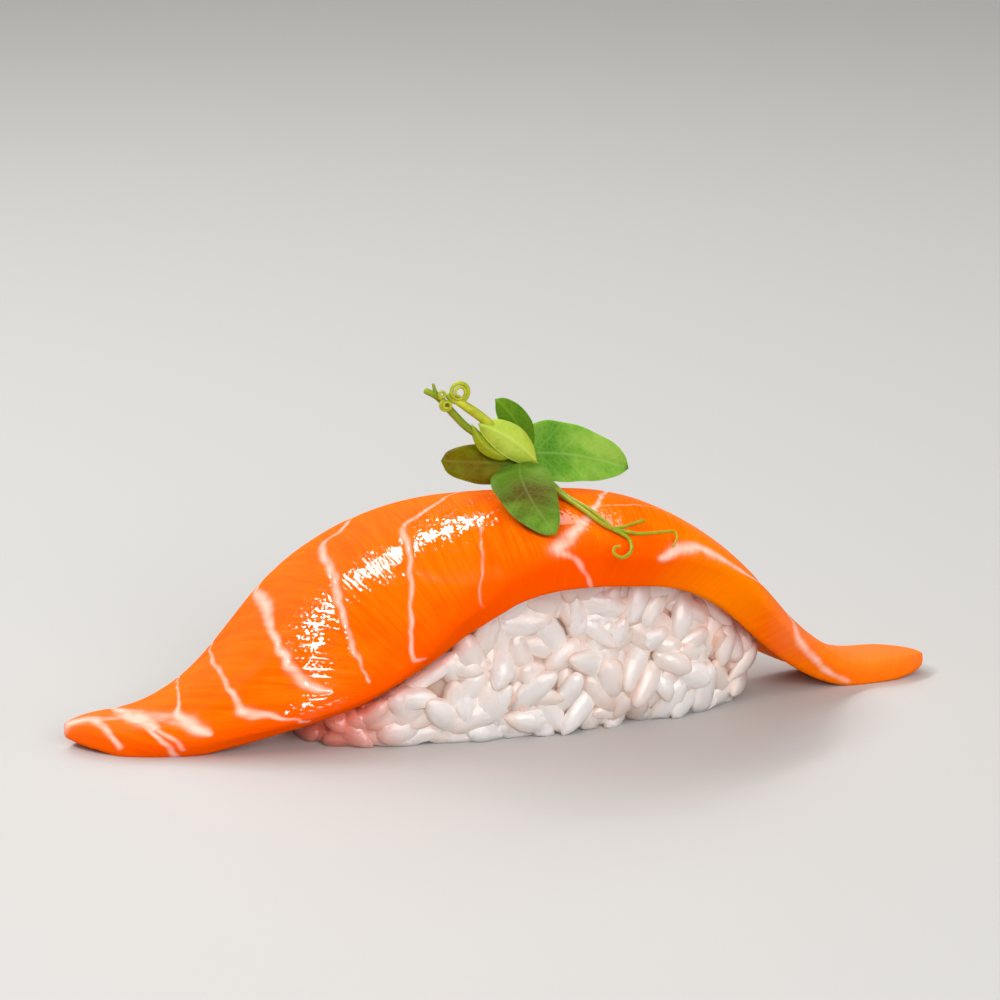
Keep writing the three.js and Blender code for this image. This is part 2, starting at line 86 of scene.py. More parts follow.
# The lines of fat between the muscles: how strong each one is, and its points as x, way over the surface from
# the ridge and half width, in mm. The way is negative to the front, and goes on down the cut face.
FAT_LINES = (
    (0.95, ((-57.5, -0.9, 1.6), (-56.2, -0.9, 2.0), (-54.8, -1.4, 1.7), (-53.9, -3.4, 0.8),
        (-53.4, -5.8, 0.6), (-52.2, -8.4, 0.5))),
    (1.0, ((-51.2, 3.6, 0.7), (-50.6, 1.0, 1.4), (-49.8, -1.6, 2.1), (-48.8, -4.0, 1.8),
        (-48.0, -5.8, 1.0))),
    (0.8, ((-48.9, -4.6, 0.6), (-47.9, -8.4, 0.5), (-46.9, -12.4, 0.5))),
    (0.6, ((-48.5, -4.4, 0.5), (-47.1, -8.0, 0.4), (-46.0, -11.6, 0.4))),
    (0.45, ((-54.6, -1.6, 1.4), (-50.0, -2.0, 1.8), (-46.6, -4.4, 1.8), (-44.8, -7.4, 1.4))),
    (0.9, ((-42.4, 8.5, 0.2), (-42.9, 4.4, 0.2), (-44.2, -3.0, 0.3), (-45.0, -5.0, 0.8), (-44.6, -7.0, 1.4),
        (-44.0, -9.0, 1.2), (-43.4, -10.4, 0.5))),
    (0.8, ((-37.2, 9.5, 0.3), (-38.3, 5.7, 0.35), (-39.1, -4.9, 0.4), (-39.5, -9.0, 0.6),
        (-39.3, -10.4, 1.0), (-38.3, -12.0, 0.5), (-36.7, -14.8, 0.3), (-35.6, -17.6, 0.25))),
    (0.95, ((-29.6, 13.5, 0.5), (-31.3, 7.9, 0.7), (-31.3, 1.9, 0.95), (-32.6, -2.3, 0.6),
        (-33.3, -7.2, 0.65), (-33.6, -10.3, 0.8), (-33.2, -12.8, 0.6), (-32.3, -14.4, 0.3))),
    (0.85, ((-16.4, 16.0, 0.4), (-18.6, 9.0, 0.45), (-20.9, 5.0, 0.5), (-23.5, 4.2, 0.7),
        (-24.2, -0.9, 0.75), (-25.6, -5.2, 0.65), (-26.8, -9.3, 0.5), (-28.4, -14.1, 0.35),
        (-28.9, -17.0, 0.2))),
    (0.75, ((-2.0, 17.0, 0.35), (-4.5, 7.0, 0.35), (-8.6, 1.2, 0.35), (-12.7, -1.4, 0.5),
        (-15.0, -2.2, 0.65), (-16.6, -7.8, 0.55), (-19.2, -12.6, 0.5), (-23.6, -18.5, 0.45),
        (-22.4, -20.8, 0.3))),
    (0.45, ((-6.8, -7.0, 0.25), (-7.4, -10.2, 0.35), (-8.8, -15.2, 0.4), (-11.3, -19.1, 0.4),
        (-10.8, -21.5, 0.25))),
    (0.85, ((15.0, 14.0, 0.4), (13.5, 3.0, 0.4), (9.6, -6.5, 0.5), (5.9, -12.8, 1.0), (2.4, -16.5, 1.7),
        (0.8, -18.0, 1.6), (1.6, -19.4, 0.8), (3.2, -20.8, 0.5), (6.0, -25.4, 0.5))),
    (0.4, ((8.4, -9.2, 0.3), (14.7, -6.7, 0.35), (20.0, -2.5, 0.35), (24.0, 5.0, 0.35),
        (24.5, 15.0, 0.35))),
    (1.0, ((15.6, -19.2, 0.9), (18.1, -16.6, 1.5), (20.9, -14.8, 1.6), (23.7, -14.1, 1.2),
        (26.3, -13.3, 0.8), (29.2, -11.0, 0.4), (32.4, -5.0, 0.35), (34.0, 3.0, 0.35), (33.4, 14.0, 0.35))),
    (0.85, ((36.6, 6.0, 0.6), (35.8, 0.5, 0.8), (36.4, -4.4, 1.0), (37.7, -8.1, 1.1), (40.4, -7.3, 1.0),
        (42.4, -6.9, 0.8), (44.4, -6.6, 0.7), (46.6, -6.6, 0.5))),
)

# The wet film is thickest along this line over the shoulder, as x and way, and thins out over its reach.
FILM_LINE = ((-33.5, -15.0), (-32.0, -12.4), (-30.4, -9.6), (-28.6, -7.2), (-26.7, -6.0), (-24.6, -5.5),
    (-22.4, -5.3), (-19.7, -6.0), (-17.1, -6.2), (-14.8, -6.8), (-11.7, -6.7), (-7.6, -7.0), (-4.0, -8.4),
    (-1.0, -10.6), (4.5, -12.4), (8.0, -13.0))
FILM_REACH = 6.2

# The fibres of a muscle run like spokes from a point beyond the front edge, as x and way in mm. There is one
# point for the muscles to the left of one of the lines of fat and one for those to its right.
FIBRE_BORDER = 8
FIBRE_CENTRES = ((-8.4, -45.6), (-10.0, -250.0))

# ---- The rice's core, the same as that of the solid it replaces -----------------------------------------

CORE = {
    "half_length": 30.8, "half_width": 11.2, "height": 27.0, "squareness": 2.4, "centre_x": 2.0,
    "centre_y": 0.6 + RIDGE_Y, "turn": math.radians(3), "left_foot": 2.6, "right_foot": 6.0, "taper": 1.2,
}

GRAIN_RINGS, GRAIN_SIDES = 7, 8

# Steps between draws that spread evenly over a square: the first two powers of 1 over the plastic number.
EVEN_STEPS = (0.7548776662, 0.5698402910)

# ---- The shoot -----------------------------------------------------------------------------------------

TUBE_SIDES = 10
LEAF_JOINT = (2.3, -0.4, 33.0)


# ---- Shape functions -----------------------------------------------------------------------------------


def bell(u, power):
    """1 at u = 0, falling to 0 from u = 1 on as half a cosine of |u| to the given power."""
    return 0.5 * (1 + np.cos(np.pi * np.minimum(np.abs(u), 1) ** power))


def smoothstep(low, high, value):
    """0 up to low, 1 from high on, and a cubic in between."""
    t = np.clip((value - low) / (high - low), 0, 1)
    return t * t * (3 - 2 * t)


def catmull_rom(points, place):
    """The smooth curve through a list of points, at places counted in points from the first one."""
    points = np.asarray(points, float)
    ends = 2 * points[0] - points[1], 2 * points[-1] - points[-2]
    row = np.concatenate([ends[:1], points, ends[1:]])
    i = np.clip(np.floor(place).astype(int), 0, len(points) - 2)
    t = (place - i).reshape(i.shape + (1,) * (points.ndim - 1))
    a, b, c, d = (row[i + k] for k in range(4))
    return b + 0.5 * t * (c - a + t * (2 * a - 5 * b + 4 * c - d + t * (3 * b - a - 3 * c + d)))


def curve(points, count):
    """Count points along the smooth curve through a list of points."""
    return catmull_rom(points, np.linspace(0, len(points) - 1, count))


def station(values, x):
    """The value at x of the smooth curve through even stations from tip to tip."""
    last = len(values) - 1
    return catmull_rom(values, np.clip((x / HALF_LENGTH + 1) / 2 * last, 0, last - 1e-9))


def value_noise(u, v, seed):
    """Smooth noise from -1 to 1: random values on the whole numbers, blended by a cubic in between."""
    size = 128
    table = np.random.default_rng(seed).uniform(-1, 1, (size, size))
    i, j = np.floor(u).astype(int), np.floor(v).astype(int)
    f, g = smoothstep(0, 1, u - i), smoothstep(0, 1, v - j)
    corner = [[table[(i + a) % size, (j + b) % size] for b in (0, 1)] for a in (0, 1)]
    near = corner[0][0] * (1 - g) + corner[0][1] * g
    far = corner[1][0] * (1 - g) + corner[1][1] * g
    return near * (1 - f) + far * f


def side_of(x, name):
    """A size of the left half of the strip where x is negative, and of the right half elsewhere."""
    return np.where(x < 0, LEFT[name], RIGHT[name])


def ridge_height(x):
    """The ridge is a bell over each half, from the height of the tail to that of the crest."""
    left = x < CREST_X
    foot, fullness, tail = (np.where(left, LEFT[k], RIGHT[k]) for k in ("foot", "fullness", "tail_height"))
    return tail + (CREST_HEIGHT - tail) * bell((x - CREST_X) / foot, fullness)


def strip_thickness(x):
    """Thickness as a bell, from the tails' to the crest's."""
    tail = side_of(x, "tail_thickness")
    return tail + (CREST_THICKNESS - tail) * bell(x / HALF_LENGTH, THICKNESS_POWER)


def tip_factor(x):
    """The share of its width that the strip keeps: a quarter ellipse over each tip."""
    past = np.maximum(np.abs(x) - (HALF_LENGTH - TIP_LENGTH), 0) / TIP_LENGTH
    return np.sqrt(np.maximum(1 - past * past, 0))


def strip_frame(x, s):
    """(point, normal, direction along, direction across) of the strip's top at x along it and s over it.

    Each half of a section is an arc, so the point lies at the end of a chord that starts on the ridge.
    """
    step = 0.02
    slope = (ridge_height(x + step) - ridge_height(x - step)) / (2 * step)
    up = np.stack([-slope, np.zeros_like(x), np.ones_like(x)], -1) / np.hypot(1, slope)[..., None]
    lean = np.radians(station(LEAN, x))
    front = np.radians(station(FRONT_DROOP, x)) * s / station(FRONT_REACH, x)
    back = np.radians(BACK_DROOP * bell(x / HALF_LENGTH, BACK_DROOP_POWER)) * s / station(BACK_REACH, x)
    turn = np.where(s < 0, front, back)
    chord = s * np.sinc(turn / 2 / np.pi)
    heading = lean + turn / 2
    tilt = (lean + turn)[..., None]
    back_to_front = np.array([0.0, 1.0, 0.0])
    normal = up * np.cos(tilt) + back_to_front * np.sin(tilt)
    across = back_to_front * np.cos(tilt) - up * np.sin(tilt)
    along = np.stack([up[..., 2], np.zeros_like(x), -up[..., 0]], -1)
    swing = side_of(x, "swing") * (x / HALF_LENGTH) ** 2
    point = np.stack([x, swing + RIDGE_Y, ridge_height(x)], -1) - up * (chord * np.sin(heading))[..., None]
    point[..., 1] += chord * np.cos(heading)
    return point, normal, along, across


def strip_point(x, s, depth):
    """A point of the strip: x along it, s over its top from the ridge and depth below the top."""
    x, s, depth = np.broadcast_arrays(*(np.asarray(v, float) for v in (x, s, depth)))
    point, normal, _, _ = strip_frame(x, s)
    return point - normal * depth[..., None]


def below_strip(points):
    """(distance of points below the strip's underside, the strip's normal there).

    The place on the strip is found by steps along its own three directions. The distance is large for a
    point that isn't under the strip.
    """
    far, margin, found = 50.0, 1.0, 0.4
    steps, widest, first_depth = 16, 26, 6.0
    x, s, depth = points[..., 0].copy(), points[..., 1] - RIDGE_Y, np.full(points.shape[:-1], first_depth)
    for _ in range(steps):
        x = np.clip(x, -HALF_LENGTH, HALF_LENGTH)
        s = np.clip(s, -widest, widest)
        point, normal, along, across = strip_frame(x, s)
        off = points - point + normal * depth[..., None]
        x += (off * along).sum(-1) * along[..., 0]
        s += (off * across).sum(-1)
        depth -= (off * normal).sum(-1)
    under = (s > -station(FRONT_REACH, x) - margin) & (s < station(BACK_REACH, x) + margin)
    under &= np.linalg.norm(off, axis=-1) < found
    return np.where(under, depth - strip_thickness(x), far), normal


def ceiling(points):
    """The height of the strip over points: that of its lowest part in each point's square of the table."""
    cell, side, stations = 1.2, 120, 700
    x = np.linspace(-HALF_LENGTH, HALF_LENGTH, stations)
    s, depth, _ = section_outline(x)
    surface = strip_point(x[:, None] + 0 * s, s, depth).reshape(-1, 3)
    lowest = np.full((side, side), np.inf)
    row, column = (np.floor(surface[:, k] / cell).astype(int) + side // 2 for k in (0, 1))
    np.minimum.at(lowest, (row, column), surface[:, 2])
    row, column = (np.floor(points[..., k] / cell).astype(int) + side // 2 for k in (0, 1))
    return lowest[row, column]


def grid_normals(points):
    """Unit normals of a closed grid, from the cross product of its two directions."""
    along = np.gradient(points, axis=0)
    around = np.roll(points, -1, 1) - np.roll(points, 1, 1)
    normal = np.cross(around, along)
    return normal / np.maximum(np.linalg.norm(normal, axis=-1, keepdims=True), 1e-9)


# ---- Meshes --------------------------------------------------------------------------------------------


def mesh_object(name, points, faces, material, attributes=None):
    """A smooth mesh object from points in mm and rows of corner numbers, where a repeated corner closes a
    triangle. Attributes are arrays with one value or one vector for each point."""
    faces = np.asarray(faces)
    keep = np.ones(faces.shape, bool)
    keep[:, -1] = faces[:, -1] != faces[:, -2]
    mesh = bpy.data.meshes.new(name)
    mesh.vertices.add(len(points))
    mesh.vertices.foreach_set("co", (np.asarray(points, float) * MM).ravel())
    sizes = keep.sum(1)
    mesh.loops.add(int(sizes.sum()))
    mesh.loops.foreach_set("vertex_index", faces[keep].astype(np.int32))
    mesh.polygons.add(len(faces))
    mesh.polygons.foreach_set("loop_start", np.concatenate([[0], np.cumsum(sizes)[:-1]]).astype(np.int32))
    mesh.polygons.foreach_set("use_smooth", np.ones(len(faces), bool))
    for key, values in (attributes or {}).items():
        vector = np.ndim(values) > 1
        layer = mesh.attributes.new(key, "FLOAT_VECTOR" if vector else "FLOAT", "POINT")
        layer.data.foreach_set("vector" if vector else "value", np.asarray(values, np.float32).ravel())
    mesh.update(calc_edges=True)
    mesh.validate()
    mesh.materials.append(material)
    piece = bpy.data.objects.new(name, mesh)
    bpy.context.scene.collection.objects.link(piece)
    return piece


def ring_faces(rings, sides, first=0):
    """Faces of a closed surface whose points are rings of equal size, then the start and the end pole."""
    i = np.arange(sides)
    j = (i + 1) % sides
    row = first + np.arange(rings - 1)[:, None] * sides
    quads = np.stack([row + j, row + j + sides, row + i + sides, row + i], -1).reshape(-1, 4)
    start, end = first + rings * sides, first + rings * sides + 1
    last = first + (rings - 1) * sides
    start_fan = np.stack([j + first, i + first, np.full(sides, start), np.full(sides, start)], -1)
    end_fan = np.stack([last + i, last + j, np.full(sides, end), np.full(sides, end)], -1)
    return np.concatenate([quads, start_fan, end_fan])


def ring_points(rings, start, end):
    """The points that ring_faces joins: all rings, then the two poles."""
    return np.concatenate([rings.reshape(-1, 3), [start], [end]])


def with_poles(values):
    """Values of all ring points, then those of the two poles, which are the means of their rings."""
    start, end = values[0].mean(0), values[-1].mean(0)
    return np.concatenate([values.reshape((-1,) + values.shape[2:]), [start], [end]])


def ring_object(name, rings, start, end, material, attributes):
    """A closed object of rings between two poles, with attributes that have one value for each ring point."""
    return mesh_object(name, ring_points(rings, start, end), ring_faces(*rings.shape[:2]), material,
                       {key: with_poles(values) for key, values in attributes.items()})


def strand_rings(points, radii, count):
    """(rings, start, end) of a round tube: circles of the given radii across the smooth curve of the points.

    Each circle is spanned by two normals, made from the direction that the curve keeps least to.
    """
    end_bulge = 0.5
    path = curve(points, count)
    radius = np.interp(np.linspace(0, 1, count), np.linspace(0, 1, len(radii)), radii)
    tangent = np.gradient(path, axis=0)
    tangent /= np.linalg.norm(tangent, axis=1, keepdims=True)
    steady = np.linalg.svd(tangent, full_matrices=False)[2][-1]
    first = np.cross(tangent, steady)
    first /= np.linalg.norm(first, axis=1, keepdims=True)
    second = np.cross(tangent, first)
    angle = np.linspace(0, 2 * np.pi, TUBE_SIDES, endpoint=False)[None, :, None]
    circle = np.cos(angle) * first[:, None] + np.sin(angle) * second[:, None]
    rings = path[:, None] + radius[:, None, None] * circle
    start, end = (path[k] + way * tangent[k] * radius[k] * end_bulge for k, way in ((0, -1), (-1, 1)))
    return rings, start, end


def joined_strands(name, strands, material):
    """One piece from several tubes, each given as (points, radii, count), with `length` from 0 to 1."""
    points, faces, lengths = [], [], []
    first = 0
    for path, radii, count in strands:
        rings, start, end = strand_rings(path, radii, count)
        points.append(ring_points(rings, start, end))
        faces.append(ring_faces(*rings.shape[:2], first))
        length = np.repeat(np.linspace(0, 1, count), rings.shape[1])
        lengths.append(np.concatenate([length, [0, 1]]))
        first += len(points[-1])
    return mesh_object(name, np.concatenate(points), np.concatenate(faces), material,
                       {"length": np.concatenate(lengths)})


def finish_piece(piece, slot, *nodes):
    """The piece rides on the nigiri's body and stands for its CAD nodes; the slot is not used."""
    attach(piece, BODY)
    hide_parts(*nodes)


# ---- Materials -----------------------------------------------------------------------------------------


def linear(code):
    """The linear colour of an sRGB hex value, as red, green, blue and alpha."""
    values = [int(code[i:i + 2], 16) / 255 for i in (1, 3, 5)]
    return tuple(v / 12.92 if v <= 0.04045 else ((v + 0.055) / 1.055) ** 2.4 for v in values) + (1.0,)


def add_node(tree, kind, inputs, out=0, **settings):
    """Adds a node with its settings, sets each input to a value or links it from a socket, and gives the
    output socket of the given number or name."""
    new = tree.nodes.new("ShaderNode" + kind)
    for key, value in settings.items():
        setattr(new, key, value)
    for key, value in inputs.items():
        if isinstance(value, bpy.types.NodeSocket):
            tree.links.new(value, new.inputs[key])
        else:
            new.inputs[key].default_value = value
    return new.outputs[out] if new.outputs else None


def new_material(name):
    """An empty node material, and the function that adds a node to it."""
    material = bpy.data.materials.new(name)
    material.use_nodes = True
    material.node_tree.nodes.clear()
    return material, partial(add_node, material.node_tree)


# Settings of a mix of two colours, and of a range that is crossed with smooth ends.
COLOURS = {"data_type": "RGBA", "out": 2}
SMOOTH = {"interpolation_type": "SMOOTHSTEP"}


def raw_salmon(sizes):
    """Raw salmon: moist, slightly translucent muscle in fine strands, with soft lines of pale fat.

    Its wet film gives small, sharp highlights that the strands under it break up, and light that goes in
    comes out deeper orange.
    """
    material, add = new_material("raw salmon")
    names = ("fat", "front_shade", "golden", "pale", "wet", "film")
    fat, front_shade, golden, pale, wet, film = (add("Attribute", {}, "Fac", attribute_name=k) for k in names)
    fibre = add("Attribute", {}, "Vector", attribute_name="fibre")
    body = add("TexCoord", {}, "Object")

    # fibres of muscle, 0.4 mm apart and 5 mm long, and strands of them, 0.6 mm apart and 9 mm long
    fibres_at = add("Mapping", {"Vector": fibre, "Scale": (1 / 5, 1 / 0.4, 1)})
    fibres = add("TexNoise", {"Vector": fibres_at, "Scale": 1.0, "Detail": 0.0, "Distortion": 0.1})
    strands_at = add("Mapping", {"Vector": fibre, "Scale": (1 / 9, 1 / 0.6, 1)})
    strands = add("TexNoise", {"Vector": strands_at, "Scale": 1.0, "Detail": 2.0, "Distortion": 0.4})
    # drops of the wet film, of 0.4 mm, and soft clouds of 9 mm
    drops = add("TexNoise", {"Vector": body, "Scale": 1 / (0.4 * MM), "Detail": 0.0})
    clouds = add("TexNoise", {"Vector": body, "Scale": 1 / (9 * MM), "Detail": 2.0})

    cloud = add("MapRange", {0: clouds, 1: 0.35, 2: 0.65}, **SMOOTH)
    strand = add("MapRange", {0: strands, 1: 0.35, 2: 0.65, 4: 0.38}, **SMOOTH)
    flesh = tuple(sizes.flesh)
    # painted shade is a redder orange along the front edge on the left, and painted sheen a paler orange
    # along the top
    tones = (cloud, "#ff6402"), (strand, "#ff7c0c"), (pale, "#f8783a"), (front_shade, "#ff5200"), (golden, "#ff8200")
    for share, tone in tones:
        flesh = add("Mix", {0: share, 6: flesh, 7: linear(tone)}, **COLOURS)
    # the fibres make the rim of a line of fat ragged
    ragged = add("Math", {0: fibres, 1: 0.35, 2: fat}, operation="MULTIPLY_ADD")
    ragged = add("MapRange", {0: ragged, 1: 0.22, 2: 1.15})
    on_line = add("MapRange", {0: fat, 2: 0.4}, **SMOOTH)
    feathered = add("Math", {0: ragged, 1: on_line}, operation="MULTIPLY")
    colour = add("Mix", {0: feathered, 6: flesh, 7: tuple(sizes.fat)}, **COLOURS)

    # the film lies in strokes along the fibres, and thins out to drops
    strokes = add("Math", {0: film, 1: 4.0}, operation="POWER")
    strokes = add("Math", {0: strokes, 1: 0.4, 2: fibres}, operation="MULTIPLY_ADD")
    strokes = add("MapRange", {0: strokes, 1: 0.82, 2: 0.88}, **SMOOTH)
    beads = add("Math", {0: film, 1: 0.34, 2: drops}, operation="MULTIPLY_ADD")
    beads = add("MapRange", {0: beads, 1: 0.86, 2: 0.92}, **SMOOTH)
    filmed = add("Math", {0: strokes, 1: beads}, operation="MAXIMUM")
    filmed = add("MapRange", {0: filmed, 3: 0.01}, **SMOOTH)
    surface = add("BsdfPrincipled", {
        "Base Color": colour, "Roughness": 0.6, "IOR": 1.33, "Specular IOR Level": 0.0,
        "Normal": add("Bump", {"Height": strands, "Strength": 0.5, "Distance": 0.15 * MM}),
        "Subsurface Weight": add("MapRange", {0: feathered, 3: 0.3, 4: 0.1}, **SMOOTH),
        "Subsurface Radius": (1.0, 0.25, 0.05), "Subsurface Scale": 2.5 * MM,
        "Coat Weight": add("Math", {0: wet, 1: filmed}, operation="MULTIPLY"),
        "Coat Roughness": 0.03, "Coat IOR": 1.6,
        "Coat Normal": add("Bump", {"Height": fibres, "Strength": 1.0, "Distance": 0.02 * MM}),
    })
    add("OutputMaterial", {"Surface": surface})
    return material


def cooked_rice(sizes):
    """Cooked short-grain rice: a moist, slightly translucent white, glossy with starch.

    Grains are warmer in their depth as painted shade and differ in tone, and by the fish lies painted shade
    tinted orange by its light.
    """
    material, add = new_material("cooked rice")
    shade, salmon_shade = (add("Attribute", {}, "Fac", attribute_name=k) for k in ("shade", "salmon_shade"))
    body = add("TexCoord", {}, "Object")
    # clearer clouds of 2.5 mm, and a skin with unevenness of 0.45 mm
    clouds = add("TexNoise", {"Vector": body, "Scale": 1 / (2.5 * MM), "Detail": 2.0})
    cloud = add("MapRange", {0: clouds, 1: 0.4, 2: 0.7, 4: 0.6}, **SMOOTH)
    skin = add("TexNoise", {"Vector": body, "Scale": 1 / (0.45 * MM), "Detail": 2.0})
    colour = tuple(sizes.grain_colour)
    # painted shade: warmer and darker in the depth and on the core, and tinted orange near the salmon
    for share, tone in (shade, "#ccaa98"), (cloud, "#d2cbc7"), (salmon_shade, "#c65a3c"):
        colour = add("Mix", {0: share, 6: colour, 7: linear(tone)}, **COLOURS)
    bump = add("Bump", {"Height": skin, "Strength": 0.5, "Distance": 0.14 * MM})
    surface = add("BsdfPrincipled", {
        "Base Color": colour, "Roughness": 0.34, "IOR": 1.42, "Normal": bump,
        "Subsurface Weight": 0.9, "Subsurface Radius": (1.0, 0.8, 0.65), "Subsurface Scale": 2.0 * MM,
        "Coat Weight": 0.8, "Coat Roughness": 0.04, "Coat IOR": 1.5, "Coat Normal": bump,
    }, subsurface_method="BURLEY")
    add("OutputMaterial", {"Surface": surface})
    return material


def pea_leaf(name, light, dark, patch, patch_at, vein):
    """A young pea leaf: thin and waxy, with a faint midrib and side veins, and a patch of another tone at a
    given distance in mm from its foot."""
    material, add = new_material(name)
    blade = add("Attribute", {}, "Vector", attribute_name="blade")
    along, across = (add("SeparateXYZ", {"Vector": blade}, axis) for axis in "XY")
    body = add("TexCoord", {}, "Object")
    away = add("Math", {0: across}, operation="ABSOLUTE")
    veins = add("MapRange", {0: away, 2: 0.35, 3: 1.0, 4: 0.0}, **SMOOTH)
    # side veins leave the midrib at a slant, 1.6 mm apart, and a net of 0.7 mm fills the blade
    slant = add("Math", {0: away, 1: -0.9, 2: along}, operation="MULTIPLY_ADD")
    wobble = add("TexNoise", {"Vector": body, "Scale": 1 / (2.5 * MM), "Detail": 1.0})
    bent = add("Math", {0: wobble, 1: 0.9, 2: slant}, operation="MULTIPLY_ADD")
    row = add("Math", {0: bent, 1: 1.6}, operation="PINGPONG")
    net = add("TexVoronoi", {"Vector": body, "Scale": 1 / (0.7 * MM)}, feature="DISTANCE_TO_EDGE")
    for distance, width, strength in (row, 0.3, 0.6), (net, 0.25, 0.35):
        more = add("MapRange", {0: distance, 2: width, 3: strength, 4: 0.0}, **SMOOTH)
        veins = add("Math", {0: veins, 1: more}, operation="MAXIMUM")
    # clouds of 3 mm mottle the blade and make the rim of its patch uneven
    clouds = add("TexNoise", {"Vector": body, "Scale": 1 / (3 * MM), "Detail": 4.0})
    uneven = add("Math", {0: clouds, 1: -5.0, 2: along}, operation="MULTIPLY_ADD")
    beyond = add("Math", {0: uneven, 1: patch_at - 2.5}, operation="SUBTRACT")
    off_patch = add("Math", {0: beyond}, operation="ABSOLUTE")
    off_patch = add("Math", {0: away, 1: 0.7, 2: off_patch}, operation="MULTIPLY_ADD")
    tones = (
        (add("MapRange", {0: clouds, 1: 0.2, 2: 0.8}, **SMOOTH), dark),
        (add("MapRange", {0: off_patch, 2: 6.5, 3: 1.0, 4: 0.0}, **SMOOTH), patch),
        (add("Math", {0: veins, 1: 0.25}, operation="MULTIPLY"), vein),
    )
    colour = linear(light)
    for share, tone in tones:
        colour = add("Mix", {0: share, 6: colour, 7: linear(tone)}, **COLOURS)
    surface = add("BsdfPrincipled", {
        "Base Color": colour, "Roughness": 0.42, "IOR": 1.45, "Specular IOR Level": 0.05,
        "Normal": add("Bump", {"Height": veins, "Strength": 0.4, "Distance": 0.12 * MM}, invert=True),
        "Subsurface Weight": 0.25, "Subsurface Radius": (0.5, 1.0, 0.15), "Subsurface Scale": 0.5 * MM,
    })
    add("OutputMaterial", {"Surface": surface})
    return material


def pea_stem(name, base, tip):
    """A pea stem: smooth, moist skin, a little mottled, turning yellow towards its tip."""
    material, add = new_material(name)
    length = add("Attribute", {}, "Fac", attribute_name="length")
    body = add("TexCoord", {}, "Object")
    clouds = add("TexNoise", {"Vector": body, "Scale": 1 / (1.2 * MM), "Detail": 2.0})
    mottle = add("MapRange", {0: clouds, 1: 0.3, 2: 0.7, 4: 0.3}, **SMOOTH)
    colour = linear(base)
    for share, tone in (length, tip), (mottle, "#4c5a10"):
        colour = add("Mix", {0: share, 6: colour, 7: linear(tone)}, **COLOURS)
    surface = add("BsdfPrincipled", {
        "Base Color": colour, "Roughness": 0.36, "IOR": 1.45, "Specular IOR Level": 0.2,
        "Normal": add("Bump", {"Height": clouds, "Strength": 0.3, "Distance": 0.06 * MM}),
        "Subsurface Weight": 0.3, "Subsurface Radius": (0.6, 1.0, 0.2), "Subsurface Scale": 0.5 * MM,
    })
    add("OutputMaterial", {"Surface": surface})
    return material


def pale_table(colour):
    """A matt painted table top, with no pattern of its own."""
    material, add = new_material("matt table top")
    matt = {"Base Color": tuple(colour), "Roughness": 0.6, "Specular IOR Level": 0.2}
    add("OutputMaterial", {"Surface": add("BsdfPrincipled", matt)})
    return material


# ---- The salmon ----------------------------------------------------------------------------------------


def section_outline(x):
    """The rounded section at each x, as arrays of s, depth and way over the surface.

    It runs along the underside from the front to the back, up the back face, over the top to the front and
    down the front face, with a quarter circle at each corner.
    """
    reach_front = station(FRONT_REACH, x) * tip_factor(x)
    reach_back = station(BACK_REACH, x) * tip_factor(x)
    sunk = TIP_TAPER * strip_thickness(x) * (1 - tip_factor(x))
    thick = strip_thickness(x) - 2 * sunk
    largest_share = 0.45
    largest = largest_share * np.minimum(reach_front + reach_back, thick)
    high = np.minimum(TOP_ROUNDING, largest)[:, None]
    low = np.minimum(BOTTOM_ROUNDING, largest)[:, None]
    front, back, thick = -reach_front[:, None], reach_back[:, None], thick[:, None]
    top = np.zeros_like(front)

    def line(start, end, count):
        """Even places from a start up to an end, as s and depth."""
        t = np.arange(count) / count
        return np.stack([a + (b - a) * t for a, b in zip(start, end)])

    def corner(s, depth, radius, start, count):
        """A quarter circle round a middle, from an angle in degrees on."""
        angle = np.radians(start - 90 * np.arange(count) / count)
        return np.stack([s - radius * np.cos(angle), depth - radius * np.sin(angle)])

    s, depth = np.concatenate([
        line((front + low, thick), (back - low, thick), 32), corner(back - low, thick - low, low, 270, 5),
        line((back, thick - low), (back, high), 10), corner(back - high, high, high, 180, 7),
        line((back - high, top), (front + high, top), 110), corner(front + high, high, high, 90, 8),
        line((front, high), (front, thick - low), 14), corner(front + low, thick - low, low, 360, 6)], -1)
    way = np.where(s > 0, s + depth, s - depth)
    return s, depth + sunk[:, None], way


def amount_on_line(x, way, points):
    """How much of each place is on a line: two bells over its distance from the line's smooth curve.

    The high, narrow bell and the low, wide one both grow with the half width, the third value of a point.
    """
    pieces, farthest, least = 8, 3.5, 0.1
    narrow, wider, low = 0.58, 2.2, 0.2
    path = curve(points, pieces * len(points))
    amount = np.zeros_like(x)
    for a, b in zip(path[:-1], path[1:]):
        reach = farthest * max(a[2], b[2]) + least
        near = (x > min(a[0], b[0]) - reach) & (x < max(a[0], b[0]) + reach)
        near &= (way > min(a[1], b[1]) - reach) & (way < max(a[1], b[1]) + reach)
        if not near.any():
            continue
        dx, dw = b[0] - a[0], b[1] - a[1]
        t = np.clip(((x[near] - a[0]) * dx + (way[near] - a[1]) * dw) / (dx * dx + dw * dw + 1e-9), 0, 1)
        distance = np.hypot(x[near] - a[0] - t * dx, way[near] - a[1] - t * dw)
        half = narrow * (a[2] + (b[2] - a[2]) * t)
        bells = (1 - low) * np.exp(-(distance / half) ** 2) + low * np.exp(-(distance / half / wider) ** 2)
        amount[near] = np.maximum(amount[near], bells)
    return amount


